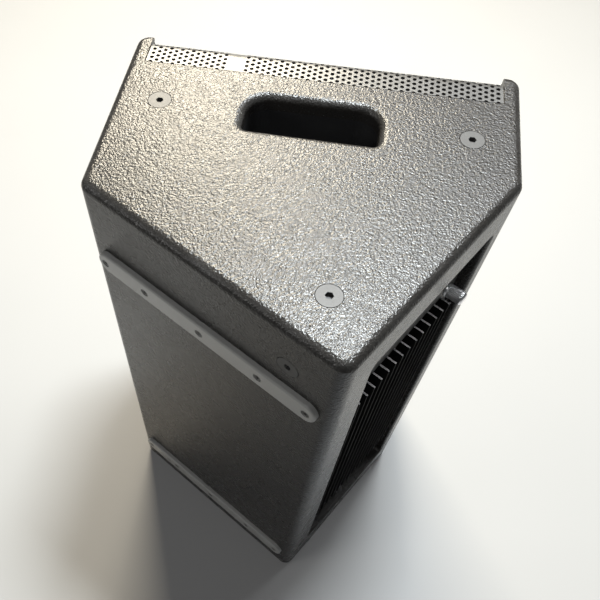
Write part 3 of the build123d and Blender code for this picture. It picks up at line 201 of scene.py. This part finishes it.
# %% A finish and its patterns
class Finish:
    """A material whose nodes are written as sums."""

    def __init__(self, name, metallic=0.0, specular=0.5):
        self.material = bpy.data.materials.new(name)
        self.material.use_nodes = True
        self.nodes = self.material.node_tree.nodes
        self.links = self.material.node_tree.links
        self.shader = self.nodes["Principled BSDF"]
        self.shader.inputs["Metallic"].default_value = metallic
        self.shader.inputs["Specular IOR Level"].default_value = specular
        self.place = self.node("ShaderNodeTexCoord", output="Object")

    def node(self, kind, settings=None, values=None, output=0):
        """A node with its settings made first, then its sockets filled or linked."""
        made = self.nodes.new(kind)
        for name, setting in (settings or {}).items():
            setattr(made, name, setting)
        for name, value in (values or {}).items():
            self.fill(made.inputs[name], value)
        return Value(self, made.outputs[output])

    def fill(self, socket, value):
        if isinstance(value, Value):
            self.links.new(value.socket, socket)
        else:
            socket.default_value = value

    def set(self, **values):
        """Fill the shader's sockets: base_color=... fills Base Color."""
        for name, value in values.items():
            self.fill(self.shader.inputs[name.replace("_", " ").title()], value)
        return self

    def stretched(self, x, y, z):
        scale = {0: self.place, 1: (x, y, z)}
        return self.node("ShaderNodeVectorMath", {"operation": "MULTIPLY"}, scale)

    def clouds(self, size, detail=3.0, rough=0.5, place=None, bend=0.0):
        """Noise whose lumps are about that many metres across."""
        values = {"Vector": place or self.place, "Scale": 1 / size, "Detail": detail,
                  "Roughness": rough, "Distortion": bend}
        return self.node("ShaderNodeTexNoise", values=values)

    def cells(self, size, softness=0.6, place=None):
        """Rounded cells about that many metres across: 0 in the middle, more at the edge."""
        values = {"Vector": place or self.place, "Scale": 1 / size, "Smoothness": softness}
        return self.node("ShaderNodeTexVoronoi", {"feature": "SMOOTH_F1"}, values)

    def mixed(self, first, second, share):
        """A colour between two colours."""
        values = {0: share, 6: first, 7: second}
        return self.node("ShaderNodeMix", {"data_type": "RGBA"}, values, output=2)

    def bump(self, height_map, depth, strength=1.0, over=None):
        """A normal that is tilted as if the surface were that many metres deep."""
        values = {"Height": height_map, "Distance": depth, "Strength": strength}
        if over is not None:
            values["Normal"] = over
        return self.node("ShaderNodeBump", values=values)

    def facing(self, direction):
        """How far the surface looks along a direction: 1 along it, -1 against it."""
        normal = self.node("ShaderNodeNewGeometry", output="Normal")
        values = {0: normal, 1: direction}
        return self.node("ShaderNodeVectorMath", {"operation": "DOT_PRODUCT"}, values, "Value")

    def roundings(self):
        """0 on flat faces and 1 on the rounded edges between them."""
        best = self.facing(face_directions[0]).size()
        for direction in face_directions[1:]:
            best = best.larger(self.facing(direction).size())
        return (1 - best).between(0.005, 0.1)


def grey(level, warmth=0.0):
    """A grey as a colour, warm above zero and cool below."""
    return (level * (1 + warmth), level, level * (1 - warmth), 1)


# %% [markdown]
# ## Cabinet paint
# Stage cabinets are sprayed with a thick water-based paint that dries in small round lumps, like
# orange peel. It hides knocks. The lumps are one to three millimetres across and each catches its own
# spark of light, so the bump matters more than the colour here. Two sizes of soft cells are added
# together, with fine noise on top. Corners lose their paint first: noise cut off at a level makes
# chips, the rounding mask keeps them on the edges, and bare grey filler shows through them.


# %% Cabinet paint
def cabinet_paint():
    paint = Finish("cabinet_paint", specular=0.33)
    drift = paint.clouds(0.004, detail=2)
    lumps = 1 - paint.cells(0.0021, softness=0.9)
    fine = 1 - paint.cells(0.0012, softness=0.8)
    skin = lumps * 0.7 + fine * 0.45 + drift * 0.4 + paint.clouds(0.0009, detail=1) * 0.12
    edges = paint.roundings()
    corner = paint.clouds(0.011, detail=5, rough=0.65)
    chips = (edges * corner).between(0.73, 0.77)
    rubbed = edges * paint.clouds(0.05, detail=4).between(0.4, 0.75)
    colour = paint.mixed(grey(0.014, 0.08), grey(0.022, 0.08), paint.clouds(0.12, detail=3))
    colour = paint.mixed(colour, grey(0.05, 0.03), rubbed * 0.4)
    colour = paint.mixed(colour, grey(0.33, 0.05), chips)
    roughness = 0.21 + paint.clouds(0.02, detail=3) * 0.12 + chips * 0.25
    depth = skin - chips * 0.9
    return paint.set(base_color=colour, roughness=roughness, normal=paint.bump(depth, 0.00062, 0.9))


def baffle_paint():
    paint = Finish("baffle_paint")
    grain = paint.clouds(0.002, detail=4, place=paint.stretched(1, 1, 0.12))
    colour = paint.mixed(grey(0.012), grey(0.024), paint.clouds(0.05))
    return paint.set(base_color=colour, roughness=0.7, normal=paint.bump(grain, 0.0003))


def bare_ply():
    """Birch ply: long grain on the faces, and dark glue lines between the layers."""
    ply = Finish("bare_ply")
    grain = ply.clouds(0.012, detail=6, rough=0.7, place=ply.stretched(1, 1, 0.06), bend=1.5)
    colour = ply.mixed((0.52, 0.36, 0.2, 1), (0.3, 0.17, 0.08, 1), grain.between(0.4, 0.75))
    return ply.set(base_color=colour, roughness=0.6, normal=ply.bump(grain, 0.0003))


# %% [markdown]
# ## Metals and plastics
# Most small parts share a handful of recipes. Powder coat is a smooth skin with a faint ripple.
# Moulded plastic has a fine spark-eroded grain. Bare metal has faint tool marks and dull spots. Each
# recipe takes its colours and its shine, so a zinc, a nickel and an aluminium differ only by their
# numbers, and every one has some variation in its shine.


# %% Recipes for coats, plastics and metals
def coat(name, low, high, shine, ripple=0.0012, depth=0.00012, warmth=0.0, specular=0.5):
    """Powder coat or spray: a dark skin with a ripple and dull dusty patches."""
    finish = Finish(name, specular=specular)
    patches = finish.clouds(0.04, detail=5, rough=0.6)
    worn = finish.roundings() * finish.clouds(0.008, detail=4).between(0.45, 0.6)
    colour = finish.mixed(grey(low, warmth), grey(high, warmth), patches)
    colour = finish.mixed(colour, grey(min(1.0, high * 3 + 0.04), warmth), worn * 0.6)
    skin = finish.clouds(ripple, detail=2)
    roughness = shine + patches * 0.12
    return finish.set(base_color=colour, roughness=roughness, normal=finish.bump(skin, depth))


def moulded(name, first, second, shine, grain=0.0007, depth=0.00008):
    """Moulded plastic: an even colour with a fine grain and finger-dulled patches."""
    finish = Finish(name)
    patches = finish.clouds(0.03, detail=4)
    colour = finish.mixed((*first, 1), (*second, 1), patches)
    pitted = 1 - finish.cells(grain, softness=0.4)
    roughness = shine + patches.between(0.3, 0.8) * 0.12
    return finish.set(base_color=colour, roughness=roughness, normal=finish.bump(pitted, depth))


TOOL_MARK, TOOL_MARK_DEPTH = 0.0008, 0.00004


def bare_metal(name, first, second, shine):
    """Bare or plated metal: fine tool marks and dull spots."""
    finish = Finish(name, metallic=1.0)
    marks = finish.clouds(TOOL_MARK, detail=3)
    spots = finish.clouds(0.006, detail=5, rough=0.7)
    colour = finish.mixed((*first, 1), (*second, 1), spots.between(0.35, 0.75))
    roughness = shine + spots * 0.15 + marks * 0.06
    normal = finish.bump(marks, TOOL_MARK_DEPTH)
    return finish.set(base_color=colour, roughness=roughness, normal=normal)


# %% [markdown]
# ## Finishes with their own recipe
# The heatsink is black anodised. The fin ends that face straight up, its sawn ends, are painted bright
# grey: a painted highlight where the light catches them. Circuit board, wire windings, wool and foam
# each have one visible habit, and that habit is what gets modelled.


# %% Heatsink, board, windings and other single finishes
def sink_anodised():
    sink = Finish("sink_anodised", specular=0.03)
    drawn = sink.clouds(0.0006, detail=2, place=sink.stretched(1, 1, 0.04))
    # Painted highlight: bright grey on the fin ends that face straight up.
    fin_top_highlight = sink.facing(UP).between(0.9, 0.99) * sink.clouds(0.004, detail=4).between(0.2, 0.45)
    colour = sink.mixed(grey(0.005), grey(0.6), fin_top_highlight)
    return sink.set(base_color=colour, roughness=0.55 + drawn * 0.15,
                    normal=sink.bump(drawn, 0.00006))


def board_laminate():
    board = Finish("board_laminate")
    tracks = 1 - board.cells(0.006, softness=0.05)
    colour = board.mixed((0.012, 0.11, 0.05, 1), (0.03, 0.2, 0.09, 1), tracks.between(0.4, 0.55))
    return board.set(base_color=colour, roughness=0.35, normal=board.bump(tracks, 0.0001))


WAVE_REPEAT = 0.31  # metres from line to line in a wave texture of scale 1


def windings(name, first, second, turn):
    """Enamelled wire or lapped tape, wound close: fine ridges one beside the other."""
    wound = Finish(name)
    lines = wound.node("ShaderNodeTexWave", {"bands_direction": "DIAGONAL"},
                       {"Vector": wound.place, "Scale": WAVE_REPEAT / turn, "Distortion": 0.4}, "Fac")
    colour = wound.mixed((*first, 1), (*second, 1), lines)
    return wound.set(base_color=colour, roughness=0.32, normal=wound.bump(lines, turn / 4))


def soft_fibre(name, first, second, size, depth):
    """Wadding, felt or cloth: tangled fibres over soft lumps, with no shine at all."""
    fibre = Finish(name, specular=0.1)
    strands = fibre.clouds(size, detail=8, rough=0.8, bend=3.0)
    colour = fibre.mixed((*first, 1), (*second, 1), strands.between(0.3, 0.7))
    return fibre.set(base_color=colour, roughness=0.95, normal=fibre.bump(strands, depth))


def open_foam():
    """Open-cell foam: pores between thin walls, with painted shade in the pores."""
    foam = Finish("open_foam", specular=0.15)
    pores_and_shade = foam.cells(0.0013, softness=0.1)
    # Painted shade: the colour is darker in the middle of each pore and lighter on the walls.
    colour = foam.mixed(grey(0.004), grey(0.02), pores_and_shade.between(0.25, 0.6))
    return foam.set(base_color=colour, roughness=0.95, normal=foam.bump(pores_and_shade, 0.0008))


def lit_lens():
    """A small lamp lens: tinted, moulded clear, and glowing faintly from inside."""
    lens = Finish("light_lens")
    depth = lens.clouds(0.001, detail=2)
    colour = lens.mixed((0.05, 0.42, 0.12, 1), (0.12, 0.7, 0.25, 1), depth)
    lens.set(base_color=colour, roughness=0.12, emission_color=colour)
    lens.shader.inputs["Emission Strength"].default_value = 0.25
    return lens


# %% [markdown]
# A table gives each of the model's material slots its finish, and a loop hands the finishes out. The
# plastics and coats differ only by the numbers they pass to the recipes. Nothing keeps a plain colour.

# %% Hand out the finishes
BLACK, SOOT, COAL = (0.012, 0.012, 0.013), (0.02, 0.02, 0.021), (0.035, 0.034, 0.033)
finishes = {
    "cabinet_paint": cabinet_paint(),
    "baffle_paint": baffle_paint(),
    "bare_ply": bare_ply(),
    "wool": soft_fibre("wadding", (0.62, 0.6, 0.56), (0.4, 0.38, 0.35), 0.004, 0.002),
    "foam": open_foam(),
    "grille_steel": coat("grille_steel", 0.03, 0.045, 0.3, warmth=0.03, specular=0.6),
    "black_plastic": moulded("black_plastic", BLACK, SOOT, 0.38),
    "rail_plastic": moulded("rail_plastic", (0.26, 0.26, 0.252), (0.32, 0.32, 0.31), 0.27),
    "black_screw": coat("black_screw", 0.02, 0.035, 0.3, ripple=0.0006, depth=0.00004),
    "zinc_steel": bare_metal("zinc_steel", (0.62, 0.61, 0.57), (0.42, 0.41, 0.38), 0.28),
    "fly_screw_steel": coat("fly_screw_steel", 0.03, 0.045, 0.4, ripple=0.0012, depth=0.00012, specular=0.4),
    "pole_cast": coat("pole_cast", 0.02, 0.035, 0.42, ripple=0.002, depth=0.0003),
    "basket_paint": coat("basket_paint", 0.018, 0.03, 0.4, ripple=0.0015, depth=0.0002),
    "ferrite": moulded("ferrite", (0.04, 0.04, 0.044), (0.07, 0.07, 0.075), 0.5, 0.0004, 0.0001),
    "gasket": moulded("gasket", (0.05, 0.035, 0.025), (0.09, 0.06, 0.04), 0.8, 0.0015, 0.0003),
    "surround_cloth": soft_fibre("surround_cloth", BLACK, COAL, 0.0009, 0.0003),
    "cone_paper": soft_fibre("cone_paper", (0.018, 0.018, 0.019), (0.04, 0.04, 0.04), 0.003, 0.0006),
    "coil_copper": windings("coil_copper", (0.45, 0.16, 0.06), (0.75, 0.36, 0.16), 0.0004),
    "amp_paint": coat("amp_paint", 0.012, 0.02, 0.42, ripple=0.0009, depth=0.00012),
    "sink_anodised": sink_anodised(),
    "board_laminate": board_laminate(),
    "capacitor_sleeve": moulded("capacitor_sleeve", (0.01, 0.012, 0.04), (0.02, 0.025, 0.08), 0.2),
    "transistor_case": moulded("transistor_case", BLACK, SOOT, 0.5, 0.0005, 0.0001),
    "transformer_tape": windings("transformer_tape", (0.5, 0.33, 0.03), (0.66, 0.46, 0.07), 0.006),
    "nickel": bare_metal("nickel", (0.8, 0.78, 0.75), (0.62, 0.6, 0.56), 0.2),
    "contact_gold": bare_metal("contact_gold", (0.86, 0.64, 0.28), (0.7, 0.5, 0.2), 0.18),
    "knob_aluminium": bare_metal("knob_aluminium", (0.9, 0.9, 0.91), (0.75, 0.75, 0.77), 0.22),
    "button_plastic": moulded("button_plastic", (0.55, 0.55, 0.54), (0.65, 0.65, 0.64), 0.2),
    "rocker_plastic": moulded("rocker_plastic", BLACK, SOOT, 0.16, 0.0012, 0.00003),
    "light_lens": lit_lens(),
    "lead_rubber": moulded("lead_rubber", (0.22, 0.012, 0.01), (0.32, 0.02, 0.015), 0.42),
}


def finish_node(piece, slot_name):
    piece.data.materials.clear()
    piece.data.materials.append(finishes[slot_name].material)


for node, piece in frame["nodes"].items():
    finish_node(piece, slot_of[node])
print(len(finishes), "finishes on", len(frame["nodes"]), "nodes")

# %% [markdown]
# ## Making pieces
# Each new piece is a list of points and a list of faces. One function turns the lists into an object,
# smooths it except at sharp edges, gives it its finish, hangs it under the empty of the body it rides
# on, and hides the CAD nodes that it stands for.


# %% Turn points and faces into a piece
def make_piece(name, points, faces, body, slot_name, stands_for=(), sharp=40):
    mesh = bpy.data.meshes.new(name)
    mesh.from_pydata(points, [], faces)
    mesh.shade_smooth()
    mesh.set_sharp_from_angle(angle=math.radians(sharp))
    piece = bpy.data.objects.new(name, mesh)
    bpy.context.scene.collection.objects.link(piece)
    finish_node(piece, slot_name)
    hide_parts(*stands_for)
    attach(piece, body)
    return piece


# %% [markdown]
# ## The perforated grille
# The grille is one steel sheet, punched with staggered round holes, then folded round both ends of
# the cabinet. Cutting six thousand holes with booleans would be slow and would leave bad faces. The
# holes of a staggered pattern sit in a honeycomb, so we can lay hexagonal tiles with a round hole in
# each, on the flat sheet, and bend every point afterwards. The tiles share their corners, so the
# sheet is one closed skin. At the sheet's ends the punching runs straight through the edge, so those
# tiles are halves. On each flange and its bend, a patch near the long side is left unpunched.

# %% The sheet before and after folding
SHEET = 0.0015
BEND = 0.013
PITCH = 0.006
HOLE_RADIUS = 0.0019
MARGIN = 0.0008
BLANK_FROM_EDGE, BLANK_WIDTH = 0.076, 0.015
sheet_low, sheet_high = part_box("grille")
flange = sheet_high.y - sheet_low.y - BEND
bend_radius = BEND - SHEET / 2
arc = bend_radius * math.pi / 2
unrolled = 2 * (flange + arc - BEND) + sheet_high.z - sheet_low.z
rows = round(unrolled / PITCH)
row_step = unrolled / rows
tiled_half = sheet_high.x - MARGIN
last_column = round(tiled_half / (PITCH * math.sqrt(3) / 2) - 2 / 3)
column_step = tiled_half / (last_column + 2 / 3)
corner_radius = column_step * 2 / 3


def folded(x, along, out):
    """Where a point of the flat sheet goes: out is how far it stands off the sheet's middle."""
    lower = along > unrolled / 2
    if lower:
        along = unrolled - along
    if along < flange:
        y, z = sheet_high.y - along, sheet_high.z - SHEET / 2 + out
    elif along < flange + arc:
        turn = (along - flange) / bend_radius
        radius = bend_radius + out
        y = sheet_low.y + BEND - radius * math.sin(turn)
        z = sheet_high.z - BEND + radius * math.cos(turn)
    else:
        y, z = sheet_low.y + SHEET / 2 - out, sheet_high.z - BEND - (along - flange - arc)
    if lower:
        z = sheet_low.z + sheet_high.z - z
    return x, y, z


print(rows, "rows and", 2 * last_column + 1, "columns of holes")

# %% [markdown]
# A tile's corners are at every sixth of a turn, and its hole has twelve sides. Six five-sided faces
# join them. A blank tile is one hexagon. Points are looked up by their place on the flat sheet, so
# two tiles that meet use the same point. The strip along each side joins the honeycomb's zigzag to
# the straight edge. Every face is made twice, for the two skins, and any edge that only one face
# uses, round a hole or along the rim, gets a wall between the skins.


# %% Tiles of the sheet
class Sheet:
    """Faces on the flat sheet, with shared corners."""

    def __init__(self):
        self.places = []
        self.known = {}
        self.faces = []

    def corner(self, x, along):
        key = (round(x, 7), round(along, 7))
        if key not in self.known:
            self.known[key] = len(self.places)
            self.places.append((x, along))
        return self.known[key]

    def face(self, *corners):
        self.faces.append([self.corner(*place) for place in corners])

    def tile(self, x, along, sectors, blank):
        stretch = row_step / (corner_radius * math.sqrt(3))
        turns = [math.radians(30 * step) for step in range(13)]
        outer = [(x + corner_radius * math.cos(turn), along + corner_radius * math.sin(turn) * stretch)
                 for turn in turns[::2]]
        inner = [(x + HOLE_RADIUS * math.cos(turn), along + HOLE_RADIUS * math.sin(turn))
                 for turn in turns]
        if blank:
            self.face(*outer[sectors.start:sectors.stop + (len(sectors) < 6)])
            return
        for k in sectors:
            self.face(outer[k], outer[k + 1], inner[2 * k + 2], inner[2 * k + 1], inner[2 * k])

    def side_strip(self, x, edge, first, last):
        """The plain margin between the outermost tiles and the sheet's straight side."""
        side = 1 if edge > 0 else -1
        column = round(x / column_step)
        reach = [corner_radius if (step + column) % 2 == 0 else corner_radius / 2
                 for step in range(first, last + 1)]
        for step, near, far in zip(range(first, last), reach, reach[1:]):
            low, high = step * row_step / 2, (step + 1) * row_step / 2
            quad = [(x + side * near, low), (edge, low), (edge, high), (x + side * far, high)]
            self.face(*(quad if side > 0 else quad[::-1]))

    def skins(self):
        """Points and faces of the folded sheet with its thickness."""
        count = len(self.places)
        points = [folded(x, along, out) for out in (-SHEET / 2, SHEET / 2)
                  for x, along in self.places]
        faces = [list(face) for face in self.faces]
        faces += [[corner + count for corner in reversed(face)] for face in self.faces]
        edges = {}
        for face in self.faces:
            for start, end in zip(face, face[1:] + face[:1]):
                edges[start, end] = True
        walls = [(end, start, start + count, end + count) for start, end in edges
                 if (end, start) not in edges]
        return points, faces + walls


# %% [markdown]
# The whole sheet has some four hundred thousand triangles, so it is made in three bands from top to
# bottom, each light enough to handle. They meet along the tiles' own outlines, edge to edge.


# %% Make the grille
def is_blank(x, along):
    from_edge = sheet_high.x - x
    wrapped = min(along, unrolled - along) < flange + arc
    return wrapped and abs(from_edge - BLANK_FROM_EDGE - BLANK_WIDTH / 2) < BLANK_WIDTH / 2


def grille_band(name, first_row, last_row):
    """The rows of tiles from first_row up to last_row. An odd column has half a row's offset."""
    sheet = Sheet()
    for column in range(-last_column, last_column + 1):
        x = column * column_step
        odd = column % 2
        for row in range(first_row, last_row + (last_row == rows and not odd)):
            along = (row + odd / 2) * row_step
            sectors = range(0, 6)
            if not odd and row == 0:
                sectors = range(0, 3)
            if not odd and row == rows:
                sectors = range(3, 6)
            sheet.tile(x, along, sectors, is_blank(x, along))
    for column, edge in ((last_column, sheet_high.x), (-last_column, sheet_low.x)):
        late = 0 if column % 2 else -1
        first = max(0, 2 * first_row + late)
        last = 2 * rows if last_row == rows else 2 * last_row + late
        sheet.side_strip(column * column_step, edge, first, last)
    points, faces = sheet.skins()
    band = make_piece(name, points, faces, "cabinet", "grille_steel", ["grille"], sharp=35)
    print(name, len(faces), "faces")
    return band


third = rows // 3
grille_band("grille_upper", 0, third)
grille_band("grille_middle", third, 2 * third)
grille_band("grille_lower", 2 * third, rows)

# %% [markdown]
# ## Foam and wadding
# Behind the grille lies a sheet of open foam, which keeps dust out, and inside the cabinet a pad of
# loose wadding is stapled to the wall. Both are soft, so both are stuffed pieces with no crisp edge.
# The wadding starts as a copy of its plain block, is remeshed into even faces, and is then pushed in
# and out by noise, always inwards from the block so that it stays clear of its neighbours. A cloth
# simulation would do the same for a sewn pad, but wadding has no cover to hold air in.


# %% Foam and wadding
def lumpy_copy(name, node, cell, lump, size):
    """A soft stuffed piece in the place of a plain block."""
    source = frame["nodes"][node]
    piece = bpy.data.objects.new(name, source.data.copy())
    bpy.context.scene.collection.objects.link(piece)
    remesh = piece.modifiers.new("even_faces", "REMESH")
    remesh.voxel_size = cell
    shown = piece.evaluated_get(bpy.context.evaluated_depsgraph_get())
    mesh = bpy.data.meshes.new_from_object(shown)
    bpy.data.objects.remove(piece)
    normals = [vertex.normal.copy() for vertex in mesh.vertices]
    for vertex, normal in zip(mesh.vertices, normals):
        swell = 0.5 + 0.5 * noise.noise(vertex.co / size)
        fuzz = 0.5 + 0.5 * noise.noise(vertex.co / (size / 4))
        vertex.co -= normal * lump * (0.25 + 0.55 * swell + 0.2 * fuzz)
    points = [vertex.co[:] for vertex in mesh.vertices]
    faces = [list(polygon.vertices) for polygon in mesh.polygons]
    made = make_piece(name, points, faces, "cabinet", slot_of[node], [node], sharp=180)
    print(name, len(faces), "faces")
    return made


lumpy_copy("wadding_pad", "damping_wool", cell=0.006, lump=0.006, size=0.045)
lumpy_copy("foam_sheet", "grille_foam", cell=0.0025, lump=0.0006, size=0.008)

# %% [markdown]
# ## The level knob and its scale
# The knob is turned from aluminium bar: a plain skirt, a grip cut with shallow flutes, and a bright
# chamfer round a flat cap with a painted line. A lathe part is a profile spun round an axis, so we
# spin it ourselves, and let the radius ripple along the grip to cut the flutes. The ring of marks
# round it is printed on the panel, so each mark is a very thin plate.

# %% Level knob
knob_at = Vector(joints["level_turn"]["pos_m"])
across = rear_out.cross(UP)
knob_reach = [(vertex.co - knob_at).dot(rear_out) for vertex in frame["nodes"]["level_knob"].data.vertices]
KNOB_RADIUS = 0.0068
SHAFT_RADIUS = 0.00305
FLUTES, FLUTE_DEPTH = 24, 0.00035
knob_low, knob_top = min(knob_reach), max(knob_reach)


def knob_point(radius, turn, out):
    return knob_at + rear_out * out + (UP * math.cos(turn) + across * math.sin(turn)) * radius


def spun(profile, steps, ripple=lambda turn, share: 0.0):
    """Points and faces of a closed profile of (radius, out, flute share) spun round the axis."""
    points, faces = [], []
    for step in range(steps):
        turn = 2 * math.pi * step / steps
        points += [knob_point(radius - ripple(turn, share), turn, out)
                   for radius, out, share in profile]
    size = len(profile)
    for step in range(steps):
        here, after = step * size, (step + 1) % steps * size
        for k in range(size):
            following = (k + 1) % size
            faces.append((here + k, here + following, after + following, after + k))
    return points, faces


def flute(turn, share):
    return share * FLUTE_DEPTH * (0.5 + 0.5 * math.cos(FLUTES * turn)) ** 2


SOCKET_DEPTH = 0.010
socket_end = knob_low + SOCKET_DEPTH
knob_profile = [
    (SHAFT_RADIUS, knob_low, 0), (KNOB_RADIUS - 0.0003, knob_low, 0),
    (KNOB_RADIUS, knob_low + 0.0003, 0), (KNOB_RADIUS, knob_low + 0.0024, 0),
    (KNOB_RADIUS - 0.0002, knob_low + 0.0028, 1), (KNOB_RADIUS - 0.0001, knob_low + 0.004, 1),
    (KNOB_RADIUS - 0.0001, knob_top - 0.0022, 1), (KNOB_RADIUS - 0.0001, knob_top - 0.0015, 0),
    (KNOB_RADIUS - 0.0012, knob_top - 0.0002, 0), (KNOB_RADIUS - 0.0015, knob_top, 0),
    (KNOB_RADIUS - 0.0024, knob_top, 0), (KNOB_RADIUS - 0.0026, knob_top - 0.0001, 0),
    (0.0, knob_top - 0.0001, 0), (0.0, socket_end, 0), (SHAFT_RADIUS, socket_end, 0)]
points, faces = spun(knob_profile, steps=144, ripple=flute)
make_piece("level_knob_fluted", points, faces, "level_knob", "knob_aluminium", ["level_knob"])
print("knob stands from", knob_low, "to", knob_top)

# %% [markdown]
# The marks of the scale and the line on the knob's cap are thin plates with a bevelled rim. One
# function makes a plate from its middle, its two directions and its size, and another joins many
# plates into one piece.


# %% Printed marks
def plate(origin, wide_way, long_way, wide, long, low, high):
    """Points and faces of a thin plate with a bevelled rim, standing along the rear direction."""
    points = []
    for out, inset in ((low, 0), (high - 0.00002, 0), (high, 0.00002)):
        for side, end in ((-1, -1), (1, -1), (1, 1), (-1, 1)):
            points.append(origin + wide_way * side * (wide / 2 - inset)
                          + long_way * end * (long / 2 - inset) + rear_out * out)
    faces = [(0, 3, 2, 1), (8, 9, 10, 11)]
    for base in (0, 4):
        for k in range(4):
            after = (k + 1) % 4
            faces.append((base + k, base + after, base + 4 + after, base + 4 + k))
    return points, faces


def many(plates):
    points, faces = [], []
    for plate_points, plate_faces in plates:
        faces += [tuple(corner + len(points) for corner in face) for face in plate_faces]
        points += plate_points
    return points, faces


MARKS, MARK_RADIUS = 11, 0.0105
MARK_WIDE, MARK_HIGH, LONG_MARK, SHORT_MARK = 0.0006, 0.00008, 0.0034, 0.0022
POINTER_WIDE, POINTER_LONG = 0.0007, 0.0018
marks = []
for mark in range(MARKS):
    turn = math.radians(-150 + 300 * mark / (MARKS - 1))
    outward = UP * math.cos(turn) + across * math.sin(turn)
    sideways = across * math.cos(turn) - UP * math.sin(turn)
    long = LONG_MARK if mark % 5 == 0 else SHORT_MARK
    marks.append(plate(knob_at + outward * (MARK_RADIUS + long / 2), sideways, outward,
                       MARK_WIDE, long, 0.0, MARK_HIGH))
make_piece("level_scale", *many(marks), "cabinet", "button_plastic")
pointer = plate(knob_at + UP * (KNOB_RADIUS - 0.0034), across, UP, POINTER_WIDE, POINTER_LONG,
                knob_top - 0.0002, knob_top + 0.00002)
make_piece("level_knob_line", *pointer, "level_knob", "black_plastic")
print(MARKS, "marks and a pointer")

# %% [markdown]
# ## Floor
# The floor is a wide grey disc with a faint mottle. The lights bring it up to nearly white. It is
# darker than white paint would be, because the floor face of the cabinet mirrors it.

# %% Floor
FLOOR_RADIUS, FLOOR_SIDES = 4, 96
floor_turns = [2 * math.pi * k / FLOOR_SIDES for k in range(FLOOR_SIDES)]
floor_points = [(FLOOR_RADIUS * math.cos(turn), FLOOR_RADIUS * math.sin(turn), 0)
                for turn in floor_turns]
floor_mesh = bpy.data.meshes.new("floor")
floor_mesh.from_pydata(floor_points, [], [range(FLOOR_SIDES)])
floor = bpy.data.objects.new("floor", floor_mesh)
bpy.context.scene.collection.objects.link(floor)
pale = Finish("pale_floor", specular=0.1)
pale.set(base_color=pale.mixed(grey(0.34), grey(0.37), pale.clouds(0.6, detail=4)), roughness=0.9)
floor_mesh.materials.append(pale.material)
print("floor disc of", FLOOR_RADIUS, "m")
